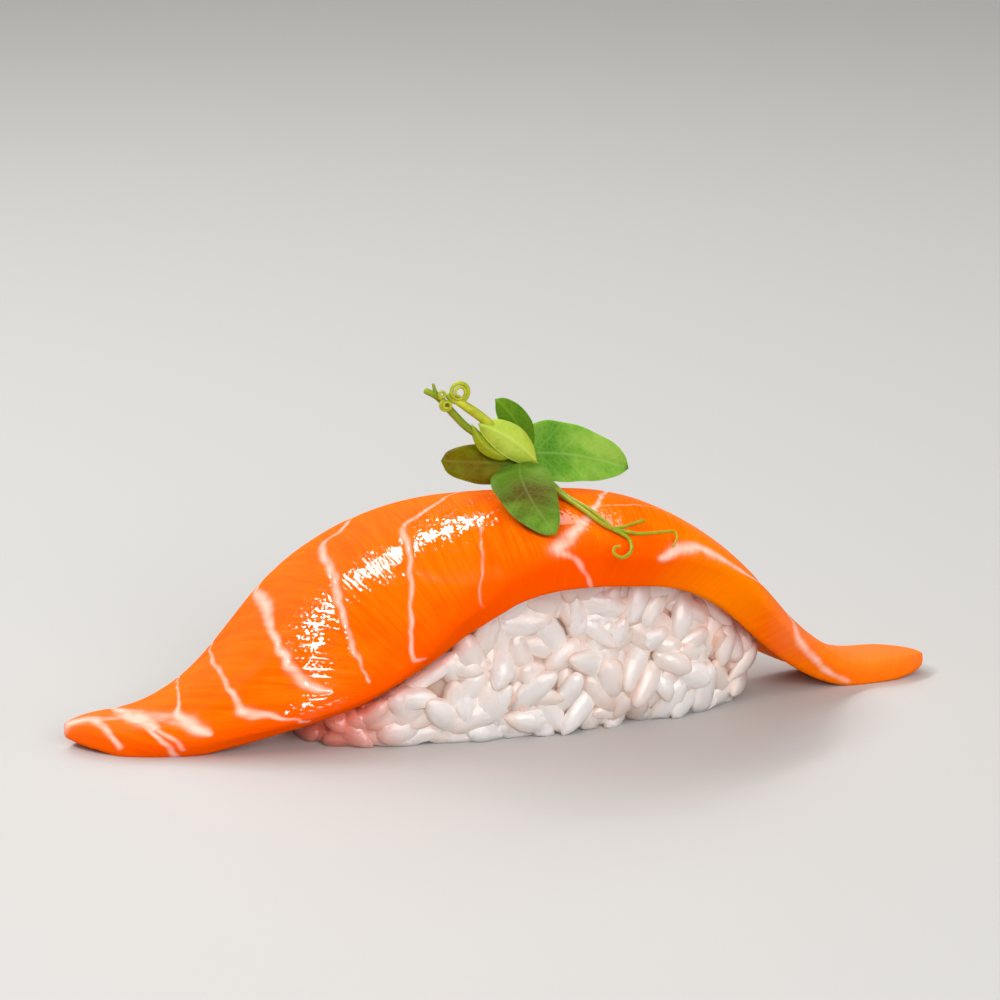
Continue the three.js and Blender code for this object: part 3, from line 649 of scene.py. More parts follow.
def salmon_surface(sizes):
    """(rings, start, end, attributes) of the strip: the rounded section carried along x, with its relief.

    Along x the sections crowd towards the tips. Relief is added along the surface's normal: shallow grooves
    at the lines of fat, low waves of the muscle and small nicks of the knife on the cut faces.
    """
    stations, crowding, short = 510, 0.4, 0.06
    t = np.linspace(-1, 1, stations)
    x = (HALF_LENGTH - short) * ((1 - crowding) * t + crowding * np.sin(np.pi / 2 * t))
    s, depth, way = section_outline(x)
    along = np.repeat(x[:, None], s.shape[1], 1)
    rings = strip_point(along, s, depth)

    def noise(length, width, seed):
        """Noise of the given sizes in mm, along the strip and over it."""
        return value_noise(along / length, way / width, seed)

    # the lines stray a little to the sides, and grow stronger and weaker
    stray_along, stray_way = (0.22 * noise(1.4, 1.4, seed) for seed in (13, 14))
    fat = np.zeros_like(along)
    for strength, points in FAT_LINES:
        fat = np.maximum(fat, strength * amount_on_line(along + stray_along, way + stray_way, points))
    fat = np.clip(fat * (0.95 + 0.3 * noise(1.1, 1.1, 15)), 0, 1)

    top = 1 - smoothstep(0.5, 2.0, depth)
    cut = smoothstep(0.8, 2.2, depth) * (depth < strip_thickness(along) - 0.3)
    relief = -sizes.groove_depth / MM * fat * top
    relief += sizes.muscle_waves / MM * noise(11, 8, 5) * top
    relief += 0.02 * noise(2.6, 1.5, 7) * top
    relief += 0.12 * noise(3.5, 8, 9) * cut
    rings += grid_normals(rings) * relief[..., None] * tip_factor(along)[..., None]
    rings[..., 2] = np.maximum(rings[..., 2], 0)

    border = np.array(FAT_LINES[FIBRE_BORDER][1])[::-1]
    right = along > np.interp(way, border[:, 1], border[:, 0])
    off_x, off_way = (np.where(right, v - b, v - a) for v, a, b in zip((along, way), *FIBRE_CENTRES))
    mean_way = 8
    mean_spoke = np.where(right, -FIBRE_CENTRES[1][1], -FIBRE_CENTRES[0][1]) - mean_way
    # tones: a painted shade of deeper orange near the front edge on the left, golden in front of the right
    # shoulder, and a painted sheen of paler orange at its top
    edge = way + station(FRONT_REACH, along) + 1.2 * noise(2.3, 2.3, 3)
    left = 1 - smoothstep(14, 26, along)
    shoulder = smoothstep(14, 26, along) * (1 - smoothstep(36, 44, along))
    behind = smoothstep(-10 - 4 * shoulder, 3 - 11 * shoulder, s)
    # painted sheen: a paler orange over the top, most on the right and on the left tail
    sheen_across = smoothstep(-9 - 5 * shoulder, 2 - 10 * shoulder, way) * (1 - smoothstep(12, 18, way))
    sheen_along = 0.25 + 0.65 * smoothstep(4, 18, along) + 0.3 * smoothstep(-44, -54, along)
    attributes = {
        "fibre": np.stack([np.hypot(off_x, off_way), np.arctan2(off_x, off_way) * mean_spoke, 0 * way], -1),
        "fat": fat,
        # painted shade along the front edge on the left, fading on the left tail
        "front_shade": (0.85 - 0.45 * smoothstep(-38, -50, along)) * smoothstep(5, 0.5, edge) * left * (s < 0),
        "golden": 0.8 * smoothstep(12, 28, along) * (1 - behind),
        "pale": sheen_along * sheen_across,
        "wet": 1 - 0.8 * smoothstep(0.8, 2.2, depth),
        "film": np.maximum(amount_on_line(along, way, [(*p, FILM_REACH) for p in FILM_LINE]),
                           0.85 * smoothstep(7, 12, s)),
    }
    start, end = (strip_point(v, 0.0, strip_thickness(v) / 2) for v in np.array([-HALF_LENGTH, HALF_LENGTH]))
    return rings, start, end, attributes


# ---- The rice ------------------------------------------------------------------------------------------


def foot_rounding(angle):
    """The undercut at the core's foot, growing from its left end to its right end."""
    share = (1 + np.cos(angle)) / 2
    return CORE["left_foot"] + (CORE["right_foot"] - CORE["left_foot"]) * share


def core_point(angle, z, inset=0.0):
    """A superellipse at each height, drawn in at its foot by a quarter circle and a little at its top."""
    rounding = foot_rounding(angle)
    low = np.clip(rounding - z, 0, rounding)
    drawn = inset + rounding - np.sqrt(rounding ** 2 - low ** 2) + CORE["taper"] * (z / CORE["height"]) ** 2
    power = 2 / CORE["squareness"]
    c, s = np.cos(angle), np.sin(angle)
    x = (CORE["half_length"] - drawn) * np.sign(c) * np.abs(c) ** power
    y = (CORE["half_width"] - drawn) * np.sign(s) * np.abs(s) ** power
    turned_x = x * math.cos(CORE["turn"]) - y * math.sin(CORE["turn"]) + CORE["centre_x"]
    turned_y = x * math.sin(CORE["turn"]) + y * math.cos(CORE["turn"]) + CORE["centre_y"]
    return np.stack(np.broadcast_arrays(turned_x, turned_y, z), -1)


def angle_at(share):
    """The angles at which the given shares of the core's outline have been passed."""
    places = 1441
    angle = np.linspace(0, 2 * np.pi, places)
    outline = core_point(angle, np.full_like(angle, CORE["height"] / 2))
    length = np.concatenate([[0], np.cumsum(np.linalg.norm(np.diff(outline, axis=0), axis=1))])
    return np.interp(np.mod(share, 1) * length[-1], length, angle)


def grain_frames(share, z, spin, tilt, inset):
    """(middle, long axis, side axis, outward axis) of grains that lie on the side of the core."""
    angle, step = angle_at(share), 0.0015
    middle = core_point(angle, z, inset)
    tangent = core_point(angle_at(share + step), z) - core_point(angle_at(share - step), z)
    tangent /= np.linalg.norm(tangent, axis=1, keepdims=True)
    out = np.stack([tangent[:, 1], -tangent[:, 0], np.zeros(len(z))], -1)
    up = np.array([0.0, 0.0, 1.0])
    axis = np.cos(spin)[:, None] * tangent + np.sin(spin)[:, None] * up
    axis = np.cos(tilt)[:, None] * axis + np.sin(tilt)[:, None] * out
    side = np.cross(out, axis)
    side /= np.linalg.norm(side, axis=1, keepdims=True)
    return middle, axis, side, np.cross(axis, side)


def settled_grains(sizes):
    """Places of the grains: even draws over the core's side in two layers, then pushed apart as capsules.

    Each grain is three balls on its axis. Balls of two grains that overlap push both grains along the
    surface, and turn them, by a share of the overlap. A grain stays under the salmon and over the table.
    """
    lowest, highest, under_salmon = 0.85, 23.5, 0.9
    steps, spacing, push_share, turn_share = 45, 1.4, 0.1, 0.15
    outline_share = 0.86  # length of the core's outline as a share of that of its box
    rng = np.random.default_rng(sizes.seed)
    number = np.arange(sizes.draws)
    share = np.mod(number * EVEN_STEPS[0], 1)
    z = 0.8 + highest * np.mod(number * EVEN_STEPS[1], 1)
    ranges = (-0.1, 1.1), (-1.4, 1.4), (-0.45, 0.45)
    inset, spin, tilt = (rng.uniform(*ends, len(z)) for ends in ranges)
    half, radius = sizes.grain_length / MM / 2, sizes.grain_width / MM / 2
    middle = grain_frames(share, z, spin, tilt, inset)[0]
    keep = (below_strip(middle)[0] > 0.5) & (z < highest) & (z > 0.3 * foot_rounding(angle_at(share)))
    share, z, inset, spin, tilt = (v[keep] for v in (share, z, inset, spin, tilt))
    perimeter = 2 * (CORE["half_length"] + CORE["half_width"]) * outline_share * 2
    offsets = np.array([-1, 0, 1]) * (half - radius)
    owner = np.repeat(np.arange(len(z)), 3)
    for _ in range(steps):
        middle, axis, _, out = grain_frames(share, z, spin, tilt, inset)
        balls = (middle[:, None] + offsets[:, None] * axis[:, None]).reshape(-1, 3)
        gap = balls[:, None] - balls[None]
        distance = np.linalg.norm(gap, axis=-1)
        touching = (distance < spacing * radius) & (owner[:, None] != owner[None])
        push = np.where(touching, spacing * radius - distance, 0) / np.maximum(distance, 0.2)
        force = (gap * push[..., None]).sum(1).reshape(-1, 3, 3) * push_share
        total = force.sum(1)
        tangent = np.cross(np.array([0.0, 0.0, 1.0]), out)
        tangent /= np.linalg.norm(tangent, axis=1, keepdims=True)
        share = share + (total * tangent).sum(1) / perimeter
        z = z + total[:, 2]
        torque = (np.cross(offsets[:, None] * axis[:, None], force) * out[:, None]).sum((1, 2))
        spin = spin - turn_share * torque
        below, normal = below_strip(middle)
        z = z - np.clip(under_salmon - below, 0, 0.5) * np.maximum(normal[:, 2], 0.4)
        z = np.maximum(z, lowest)
    return share, z, spin, tilt, inset, rng


def grain_shapes(middle, axis, side, out, sizes, rng):
    """Points of cooked kernels: a spindle of radius (1 - |t|^p)^q over its axis t, each one bent, flattened,
    tapered and dented by its own amounts."""
    count, rings, sides = len(middle), GRAIN_RINGS, GRAIN_SIDES
    any_angle = 0, 6.3

    def each(low, high):
        """A random value for each grain."""
        return rng.uniform(low, high, count)[:, None, None]

    t = -np.cos(np.pi * np.arange(1, rings + 1) / (rings + 1))[None, :, None]
    angle = (2 * np.pi * np.arange(sides) / sides)[None, None, :]
    length = sizes.grain_length / MM / 2 * each(0.75, 1.15)
    width = sizes.grain_width / MM / 2 * each(0.85, 1.15)
    thickness = width * each(0.55, 0.75)
    radius = (1 - np.abs(t) ** each(1.8, 3.1)) ** each(0.44, 0.76) * (1 + each(-0.35, 0.35) * t)
    radius = radius * (1 + each(0.0, 0.09) * np.sin(2 * angle + each(*any_angle) + 2.2 * t))
    radius = radius * (1 + each(0.0, 0.08) * np.sin(3 * t + each(*any_angle) + angle))
    bend = each(-0.5, 0.5) * (t * t - 0.4)
    flattened = np.sign(np.sin(angle)) * np.abs(np.sin(angle)) ** 0.7
    local = np.stack(np.broadcast_arrays(
        length * t, width * radius * np.cos(angle) + bend, thickness * radius * flattened), -1)
    ends = np.zeros((count, 2, 3))
    ends[:, :, 0] = length[:, 0] * np.array([-1, 1])
    ends[:, :, 1] = bend[:, [0, -1], 0] * 1.15
    local = np.concatenate([local.reshape(count, -1, 3), ends], 1)
    return middle[:, None] + local @ np.stack([axis, side, out], 1)


def enclosed(grains):
    """The volume inside each grain: a sixth of the sum of the box products of its triangles' corners."""
    faces = ring_faces(GRAIN_RINGS, GRAIN_SIDES)
    a, b, c, d = (grains[:, faces[:, k]] - grains.mean(1)[:, None] for k in range(4))
    return ((a * np.cross(b, c)).sum(-1) + (a * np.cross(c, d)).sum(-1)).sum(1) / 6


def pressed(points, clearance):
    """Points pushed away from the salmon along its normal, and kept over the table."""
    farthest = 6
    below, normal = below_strip(points)
    push = np.clip(clearance - below, 0, farthest)
    points = points - normal * push[..., None]
    points[..., 2] = np.maximum(points[..., 2], 0)
    return points


def rice_core():
    """The rings of the pressed rice under the grains: the core's outline drawn in, with lumps."""
    sides, levels, foot, drawn_in, gap = 150, 50, 0.25, 1.0, 0.5
    angle = np.tile(angle_at(np.arange(sides) / sides), (levels, 1))
    height = np.linspace(foot, CORE["height"] - gap, levels)[:, None] + 0 * angle
    lumps = 0.4 * value_noise(angle * 22, height / 1.6, 11)
    points = core_point(angle, height, drawn_in + lumps)
    points[..., 2] = np.minimum(points[..., 2], ceiling(points) - gap)
    return points


def shade_by_salmon(points):
    """How much painted shade, tinted orange by the salmon's light, lies on rice: most where it touches, and
    all of it under the left shoulder.
    """
    fade = 2.0
    near = np.exp(-np.maximum(below_strip(points)[0], 0) / fade)
    return np.clip(0.35 * near + 0.85 * smoothstep(-15, -25, points[..., 0]), 0, 0.9)


# ---- The pea shoot -------------------------------------------------------------------------------------


def shifted(point):
    """A point of the strip's own frame, or a row of them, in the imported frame."""
    return np.asarray(point, float) + (0, RIDGE_Y, 0)


def leaf_rings(base, via, tip, across, halves, cup, wave, bluntness, belly, thickness):
    """(rings, start, end, blade) of a leaf: a curved axis from its base to its tip, a half width on each
    side that follows a blunt sine, a cup as the square of the way across and a ripple along the rim.

    Both faces and the rounded rim are one ring for each step along the axis. Blade holds the way along and
    across in mm.
    """
    steps, cells, point = 50, 22, 0.4
    base, via, tip = shifted((base, via, tip))
    u = np.linspace(0, 1, steps)[1:-1, None]
    axis = (1 - u) ** 2 * base + 2 * u * (1 - u) * via + u * u * tip
    tangent = 2 * (1 - u) * (via - base) + 2 * u * (tip - via)
    tangent /= np.linalg.norm(tangent, axis=1, keepdims=True)
    side = np.asarray(across, float) - tangent * (tangent @ np.asarray(across, float))[:, None]
    side /= np.linalg.norm(side, axis=1, keepdims=True)
    normal = np.cross(tangent, side)
    shape = np.sin(np.pi * u ** belly) ** bluntness
    w = np.concatenate([np.linspace(-1, 1, cells), np.linspace(1, -1, cells)])[None]
    face = np.repeat([-1.0, 1.0], cells)[None] * np.sqrt(np.maximum(1 - np.abs(w) ** 12, 0))
    half = np.where(w < 0, halves[0], halves[1]) * shape
    slow, quick = (np.sin(2 * np.pi * turns * u + start) for turns, start in ((1.4, 0), (3.3, 2)))
    ripple = wave * (slow * w + 0.5 * quick * w * w * np.abs(w))
    crease = -0.12 * np.exp(-(w * half / 0.25) ** 2)
    lift = cup * w * w + ripple + crease + face * thickness / 2 * (0.35 + 0.65 * shape)
    rings = axis[:, None] + side[:, None] * (w * half)[..., None] + normal[:, None] * lift[..., None]
    length = np.linalg.norm(tip - base)
    blade = np.stack([u * length + 0 * w, w * half, 0 * half], -1)
    return rings, base, tip + tangent[-1] * point, blade


def on_strip(places, radius):
    """Points over the strip's surface for a tendril of the given radius, from [x, s, extra lift]."""
    gap = 0.32
    rows = np.array([tuple(p) + (0.0,) * (3 - len(p)) for p in places])
    return [*strip_point(rows[:, 0], rows[:, 1], -(radius + gap) - rows[:, 2])]


def spiral(centre, outer, inner, turns, start, drift):
    """A spiral in an upright plane that winds in evenly and comes forward as it goes."""
    points_in_turn = 14
    t = np.linspace(0, 1, int(turns * points_in_turn))
    angle = math.radians(start) + 2 * np.pi * turns * t
    radius = outer + (inner - outer) * t
    return [*(np.stack([radius * np.cos(angle), -drift * t, radius * np.sin(angle)], -1) + shifted(centre))]


# Each leaf: name, base, via, tip, direction across, half widths, cup, wave, bluntness, belly, then its light
# and dark colours, its patch's colour, how far the patch lies from its base in mm, and its veins' colour.
LEAVES = (
    ("leaf_large", (0.8, 0.1, 34.3), (7.4, 0.4, 34.6), (15.3, 0.6, 31.5), (0, 0.7, 1), (4.1, 4.4), 0.5,
     0.25, 0.5, 0.75, "#8cae44", "#5c9620", "#427c16", 4.6, "#b0c872"),
    # the front and left leaves' darker colours are partly their own browner tone and partly painted shade
    ("leaf_front", (1.2, -0.2, 33.4), (-2.6, -8.0, 33.4), (0.6, -16.2, 28.3), (1, -0.1, 0.1), (3.9, 4.0),
     -0.3, 0.2, 0.5, 0.8, "#688a2a", "#486c14", "#4c3c00", 10.0, "#8ea852"),
    ("leaf_left", (1.6, 0, 33.1), (-3.2, 0.6, 33.3), (-8.8, 1.0, 33.9), (0.1, 0.5, 1), (2.7, 2.6), 0.4, 0.2,
     0.3, 0.9, "#6c7002", "#5c4200", "#3e640a", 0.0, "#888c30"),
    ("leaf_upper", (1.9, 0.2, 33.8), (1.5, 0.7, 38.4), (-1.9, 0.6, 41.4), (1, 0.1, 0.5), (2.1, 2.0), 0.3,
     0.2, 0.5, 0.9, "#5c8410", "#446c08", "#4c7410", 0.0, "#8aa840"),
    ("leaf_folded", (2.8, -1.0, 33.5), (-0.2, -1.9, 37.2), (-4.6, -1.4, 38.9), (0.55, 0.2, 0.8), (2.1, 2.1),
     0.9, 0.1, 0.5, 0.9, "#b8c850", "#9cb434", "#b0c03c", 0.0, "#d2dc86"),
    ("leaf_scale", (-0.4, -0.6, 34.2), (-4.2, -0.7, 35.0), (-5.4, -0.4, 38.6), (0.8, 0, 0.6), (0.95, 0.95),
     0.2, 0.1, 0.6, 0.9, "#9aa31c", "#7b8a12", "#8a9414", 0.0, "#c3c95a"),
)

# The softboxes, as bearing and height in degrees. They stand in a row round the left of the nigiri, so that
# each one's reflection lies on the next part of its shoulder.
SOFTBOXES = ((-40, 46), (-60, 48.5), (-80, 47.5), (-100, 47), (-118, 51.5), (-136, 56), (-158, 54.5),
    (-176, 48))
SOFTBOX_DISTANCE, SOFTBOX_SIZE, SOFTBOX_BRIGHTNESS = 0.70, (0.22, 0.055), 16

# The larger lamps: name, bearing and height in degrees, distance and size in m, and brightness. All lamps
# face the target, in m.
LAMPS = (
    ("front", 5, 26, 1.1, (1.0, 0.6), 5.3),
    ("right", 75, 35, 0.9, (0.4, 0.4), 2.6),
    ("back", 175, 38, 1.5, (1.4, 0.8), 2.0),
)
LAMP_TARGET = np.array([0.0, 0.0, 15 * MM])

# The light of the room all round.
ROOM_COLOUR, ROOM_BRIGHTNESS = "#f4f2f0", 0.18


# ---- Properties ----------------------------------------------------------------------------------------


def length_property(name, description, default, low, high):
    """A length that a user can change, from its values in mm."""
    return bpy.props.FloatProperty(name=name, description=description, default=default * MM, min=low * MM,
                                   max=high * MM, unit="LENGTH")


def colour_property(name, description, code):
    """A colour that a user can change, from its sRGB hex value."""
    return bpy.props.FloatVectorProperty(name=name, description=description, default=linear(code), size=4,
                                         min=0.0, max=1.0, subtype="COLOR")


class SalmonSizes(bpy.types.PropertyGroup):
    """What a user would change on the salmon."""

    groove_depth: length_property("Fat groove", "How deep a line of fat lies in the flesh", 0.14, 0, 0.5)
    muscle_waves: length_property("Muscle waves", "Height of the low waves of the flesh", 0.12, 0, 0.5)
    flesh: colour_property("Flesh", "Colour of the muscle", "#fb5800")
    fat: colour_property("Fat", "Colour of the lines of fat", "#fac0ac")


class RiceSizes(bpy.types.PropertyGroup):
    """What a user would change on the rice."""

    grain_length: length_property("Grain length", "Length of a cooked kernel", 7.6, 3, 9)
    grain_width: length_property("Grain width", "Width of a cooked kernel", 3.3, 1, 4)
    draws: bpy.props.IntProperty(
        name="Draws", description="Places tried for grains over the core", default=600, min=50, max=1500)
    seed: bpy.props.IntProperty(
        name="Seed", description="Start of the grains' random sizes and turns", default=4, min=0)
    grain_colour: colour_property("Grain", "Colour of a cooked kernel", "#d8d4d2")


class ShootSizes(bpy.types.PropertyGroup):
    """What a user would change on the pea shoot."""

    leaf_thickness: length_property("Leaf thickness", "Thickness of a leaf at its middle", 0.42, 0.1, 1)
    tendril: length_property("Tendril", "Diameter of a tendril", 0.55, 0.2, 1)
    stem: length_property("Stem", "Diameter of the stem", 1.0, 0.5, 2)


class StageSizes(bpy.types.PropertyGroup):
    """The table and the camera."""

    table: length_property("Table", "Half the width of the table", 6000, 1000, 50000)
    table_colour: colour_property("Table colour", "Colour of the table top", "#bebcb9")
    azimuth: bpy.props.FloatProperty(
        name="Azimuth", description="How far the camera stands to the right", default=math.radians(-16),
        subtype="ANGLE")
    elevation: bpy.props.FloatProperty(
        name="Elevation", description="How far the camera looks down", default=math.radians(14.5),
        subtype="ANGLE")
    distance: length_property("Distance", "From the camera to the foot of the crest", 480, 100, 50000)


# ---- Operators -----------------------------------------------------------------------------------------


class NIGIRI_OT_salmon(bpy.types.Operator):
    """Lays the strip of raw salmon, with its lines of fat and its relief"""

    bl_idname = "nigiri.salmon"
    bl_label = "Salmon"

    def execute(self, context):
        sizes = context.scene.salmon_sizes
        rings, start, end, attributes = salmon_surface(sizes)
        piece = ring_object("salmon_strip", rings, start, end, raw_salmon(sizes), attributes)
        finish_piece(piece, "salmon", "salmon")
        return {"FINISHED"}


class NIGIRI_OT_rice(bpy.types.Operator):
    """Packs the cooked grains round a core of pressed rice"""

    bl_idname = "nigiri.rice"
    bl_label = "Rice"

    def execute(self, context):
        sizes = context.scene.rice_sizes
        # in mm, how far a grain stays from the salmon and how far it may reach over the lowest part of it
        clearance, slack = 0.3, 1.5
        # a grain that the salmon squashes to less than this, in cubic mm, is left out
        least = 3.0
        share, z, spin, tilt, inset, rng = settled_grains(sizes)
        middle, axis, side, out = grain_frames(share, z, spin, tilt, inset)
        grains = pressed(grain_shapes(middle, axis, side, out, sizes, rng), clearance)
        clear = (grains[..., 2] < ceiling(grains) + slack).all(1)
        # painted shade: a grain is darker in its depth, and each one differs in tone by its own amount
        proud = ((grains - middle[:, None]) * out[:, None]).sum(-1) - inset[:, None]
        grains, proud = grains[clear], proud[clear]
        shade = smoothstep(0.9, -1.2, proud) + rng.uniform(-0.25, 0.25, (len(grains), 1))
        grains, shade = (v[enclosed(grains) > least] for v in (grains, shade))
        faces = [ring_faces(GRAIN_RINGS, GRAIN_SIDES, k * grains.shape[1]) for k in range(len(grains))]
        core = rice_core()
        faces.append(ring_faces(*core.shape[:2], grains[..., 0].size))
        core = with_poles(core)
        points = np.concatenate([grains.reshape(-1, 3), core])
        # the core, deepest of all, takes the whole painted shade
        shade = np.concatenate([shade.ravel(), np.ones(len(core))])
        heap = mesh_object("rice_heap", points, np.concatenate(faces), cooked_rice(sizes),
                           {"shade": shade, "salmon_shade": shade_by_salmon(points)})
        finish_piece(heap, "rice", "rice")
        return {"FINISHED"}


class NIGIRI_OT_leaves(bpy.types.Operator):
    """Grows the leaves, the folded leaf and the scale of the pea shoot"""

    bl_idname = "nigiri.leaves"
    bl_label = "Leaves"

    def execute(self, context):
        thickness = context.scene.shoot_sizes.leaf_thickness / MM
        for name, *form, light, dark, patch, patch_at, vein in LEAVES:
            rings, start, end, blade = leaf_rings(*form, thickness)
            material = pea_leaf(name.replace("_", " "), light, dark, patch, patch_at, vein)
            piece = ring_object(name, rings, start, end, material, {"blade": blade})
            finish_piece(piece, "pea_shoot", "pea_shoot")
        return {"FINISHED"}


class NIGIRI_OT_stems(bpy.types.Operator):
    """Grows the stem, the leaf stalk, the coiled tendril and the knot where the leaves meet"""

    bl_idname = "nigiri.stems"
    bl_label = "Stems"

    def execute(self, context):
        sizes = context.scene.shoot_sizes
        stem, tendril = sizes.stem / MM / 2, sizes.tendril / MM / 2
        crook, stalk_top = (-9.6, 0.2, 42.3), (-8.7, -0.5, 42.7)
        stem_path = shifted([
            (-11.4, 0.2, 43.4), crook, (-7.6, 0.2, 40.0), (-5.6, 0.1, 38.0), (-1.4, 0, 35.2), LEAF_JOINT])
        twig_path = shifted([(-10.4, 0.2, 44.2), (-10.1, 0.2, 43.2), crook])
        stalk_path = shifted([
            stalk_top, (-6.6, -0.7, 41.4), (-4.0, -0.9, 39.4), (-1.0, -0.8, 36.3), LEAF_JOINT])
        knot_path = shifted([(1.2, -0.4, 33.7), LEAF_JOINT, (3.3, -0.6, 32.5)])
        green = joined_strands("stem", (
            (stem_path, [stem * 0.8, stem, stem, stem * 0.9], 60),
            (twig_path, [stem * 0.35, stem * 0.7], 16),
        ), pea_stem("pea stem", "#8a9a20", "#7d9422"))
        stalk = joined_strands("stalk", (
            (stalk_path, [tendril * 1.3, 0.62, 0.62, 0.5], 60),
            (knot_path, [0.5, 1.0, 0.5], 20),
        ), pea_stem("leaf stalk", "#c2c52e", "#a3ad2a"))
        coil = [shifted(stalk_top)] + spiral((-7.3, -0.6, 43.2), 1.42, 0.45, 2.2, 200, 0.7)
        curl = [shifted((-9.2, -0.2, 42.2))] + spiral((-9.0, -0.9, 41.6), 0.75, 0.3, 1.5, 120, 0.4)
        small = [shifted((-9.6, -0.1, 42.6))] + spiral((-9.6, -0.8, 43.0), 0.5, 0.25, 1.2, 250, 0.4)
        coils = joined_strands("coils", (
            (coil, [tendril * 1.3, tendril, tendril * 0.8, tendril * 0.6], 150),
            (curl, [tendril * 0.9, tendril * 0.7], 80),
            (small, [tendril * 0.8, tendril * 0.6], 60),
        ), pea_stem("young tendril", "#a6b32c", "#b8b430"))
        for piece in (green, stalk, coils):
            finish_piece(piece, "pea_shoot", "pea_shoot")
        return {"FINISHED"}


class NIGIRI_OT_tendrils(bpy.types.Operator):
    """Lays the forked tendrils over the salmon"""

    bl_idname = "nigiri.tendrils"
    bl_label = "Tendrils"

    def execute(self, context):
        radius = context.scene.shoot_sizes.tendril / MM / 2
        fork = (8.5, -15.8)
        run = [shifted(LEAF_JOINT), shifted((3.5, -3.5, 31.2))]
        run += on_strip([(4.7, -7.2), (6.0, -11.6), (7.4, -14.7), fork], radius)
        beside = [shifted(LEAF_JOINT), shifted((4.0, -3.3, 31.4))]
        beside += on_strip([(5.1, -6.7), (6.7, -11.1), (8.0, -14.3), fork], radius)
        upper = on_strip([fork, (10.7, -14.8), (13.4, -13.0)], radius)
        hooked = on_strip([fork, (12.2, -16.1), (15.4, -14.9), (17.2, -14.0), (17.5, -15.2), (16.6, -17.4)],
                          radius)
        curled = on_strip([fork, (10.1, -17.1), (10.4, -18.5), (9.8, -20.2, 0.2), (8.3, -21.4, 0.4),
                           (7.3, -20.8, 0.4), (7.6, -19.8, 0.4), (8.4, -19.6, 0.6)], radius)
        material = pea_stem("tendril", "#8fa51f", "#a79a1c")
        piece = joined_strands("tendrils", (
            (run, [radius * 1.5, radius * 1.1, radius], 70),
            (beside, [radius * 1.1, radius * 0.9], 70),
            (upper, [radius * 0.9, radius * 0.7, radius * 0.95], 30),
            (hooked, [radius * 0.9, radius * 0.65, radius * 0.5], 90),
            (curled, [radius * 0.9, radius * 0.8, radius * 0.6], 90),
        ), material)
        finish_piece(piece, "pea_shoot", "pea_shoot")
        return {"FINISHED"}


def sight(azimuth, elevation):
    """(right, up, back) of what looks at the nigiri from a bearing round it and a height, in radians."""
    back = np.array([math.sin(azimuth) * math.cos(elevation), -math.cos(azimuth) * math.cos(elevation),
                     math.sin(elevation)])
    right = np.array([math.cos(azimuth), math.sin(azimuth), 0.0])
    return right, np.cross(back, right), back


def place_object(name, data, axes, point):
    """An object of the given lamp or camera at a point, turned to its right, up and back directions."""
    place = np.eye(4)
    place[:3, :3] = np.stack(axes, 1)
    place[:3, 3] = point
    placed = bpy.data.objects.new(name, data)
    placed.matrix_world = Matrix(place.tolist())
    bpy.context.scene.collection.objects.link(placed)
    return placed


def area_lamp(name, azimuth, elevation, distance, size, radiance):
    """A rectangular softbox of the given brightness at a bearing round the nigiri, facing its middle."""
    lamp = bpy.data.lights.new(name, "AREA")
    lamp.shape = "RECTANGLE"
    lamp.size, lamp.size_y = size
    lamp.energy = radiance * math.pi * size[0] * size[1]
    axes = sight(math.radians(azimuth), math.radians(elevation))
    place_object(name, lamp, axes, LAMP_TARGET + axes[2] * distance)


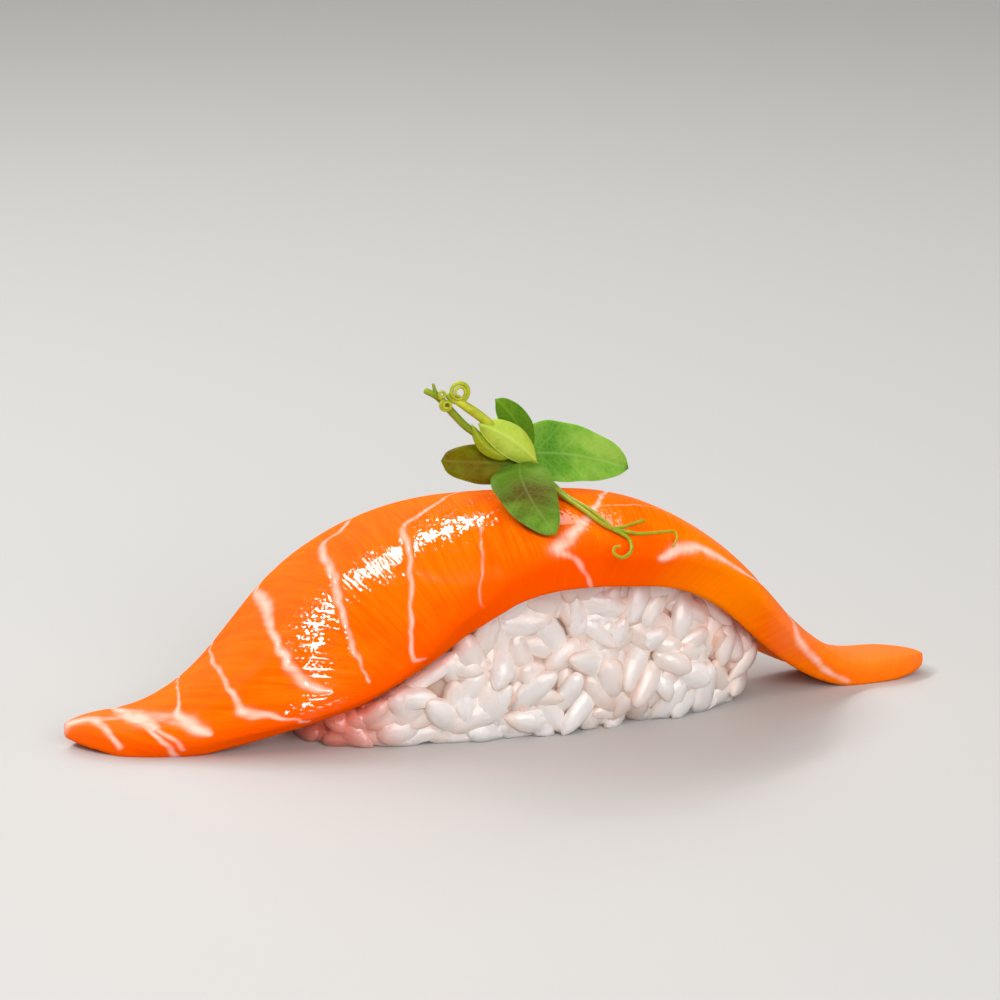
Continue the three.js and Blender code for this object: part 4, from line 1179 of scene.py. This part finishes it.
class NIGIRI_OT_stage(bpy.types.Operator):
    """Sets the pale table, the soft lamps and the camera"""

    bl_idname = "nigiri.stage"
    bl_label = "Table, lamps and camera"

    def execute(self, context):
        sizes = context.scene.stage_sizes
        half, below = sizes.table / MM, -0.02
        corners = [(x * half, y * half, below) for x, y in ((-1, -1), (1, -1), (1, 1), (-1, 1))]
        table = mesh_object("table", corners, [(0, 1, 2, 3)], pale_table(sizes.table_colour))

        world = bpy.data.worlds.new("studio")
        world.use_nodes = True
        background = world.node_tree.nodes["Background"]
        background.inputs["Color"].default_value = linear(ROOM_COLOUR)
        background.inputs["Strength"].default_value = ROOM_BRIGHTNESS
        context.scene.world = world
        for azimuth, elevation in SOFTBOXES:
            area_lamp("key", azimuth, elevation, SOFTBOX_DISTANCE, SOFTBOX_SIZE, SOFTBOX_BRIGHTNESS)
        for lamp in LAMPS:
            area_lamp(*lamp)

        # image units: the frame is 1000 wide, and the foot of the crest lies at this place in it
        frame_width, focal, foot_at = 1000, 3710.4, (512.6, 712.8)
        right, up, back = sight(sizes.azimuth, sizes.elevation)
        aside = right * (foot_at[0] - frame_width / 2) - up * (foot_at[1] - frame_width / 2)
        place = np.array([0, RIDGE_Y * MM, 0]) + back * sizes.distance - aside * sizes.distance / focal
        camera = bpy.data.cameras.new("camera")
        camera.lens = camera.sensor_width * focal / frame_width
        camera.clip_start, camera.clip_end = 0.01, 50
        context.scene.camera = place_object("camera", camera, (right, up, back), place)
        context.scene.view_settings.view_transform = "Standard"
        return {"FINISHED"}


class NIGIRI_PT_panel(bpy.types.Panel):
    """The nigiri's pieces, in the order in which they are made"""

    bl_idname = "NIGIRI_PT_panel"
    bl_label = "Salmon Nigiri"
    bl_space_type = "VIEW_3D"
    bl_region_type = "UI"
    bl_category = "Nigiri"

    def draw(self, context):
        for name in GROUPS:
            box = self.layout.box()
            sizes = getattr(context.scene, name)
            for key in sizes.bl_rna.properties.keys():
                if key not in ("rna_type", "name"):
                    box.prop(sizes, key)
        for operator in OPERATORS:
            self.layout.operator(operator.bl_idname)


GROUPS = {
    "salmon_sizes": SalmonSizes, "rice_sizes": RiceSizes, "shoot_sizes": ShootSizes,
    "stage_sizes": StageSizes,
}
OPERATORS = (NIGIRI_OT_stage, NIGIRI_OT_salmon, NIGIRI_OT_rice, NIGIRI_OT_leaves, NIGIRI_OT_stems,
             NIGIRI_OT_tendrils)


def register():
    for group in GROUPS.values():
        bpy.utils.register_class(group)
    for name, group in GROUPS.items():
        setattr(bpy.types.Scene, name, bpy.props.PointerProperty(type=group))
    for item in (*OPERATORS, NIGIRI_PT_panel):
        bpy.utils.register_class(item)


def unregister():
    for item in (NIGIRI_PT_panel, *reversed(OPERATORS)):
        bpy.utils.unregister_class(item)
    for name, group in GROUPS.items():
        delattr(bpy.types.Scene, name)
        bpy.utils.unregister_class(group)


def main():
    """Makes every piece."""
    register()
    for operator in OPERATORS:
        group, name = operator.bl_idname.split(".")
        getattr(getattr(bpy.ops, group), name)()


if __name__ == "__main__":
    main()
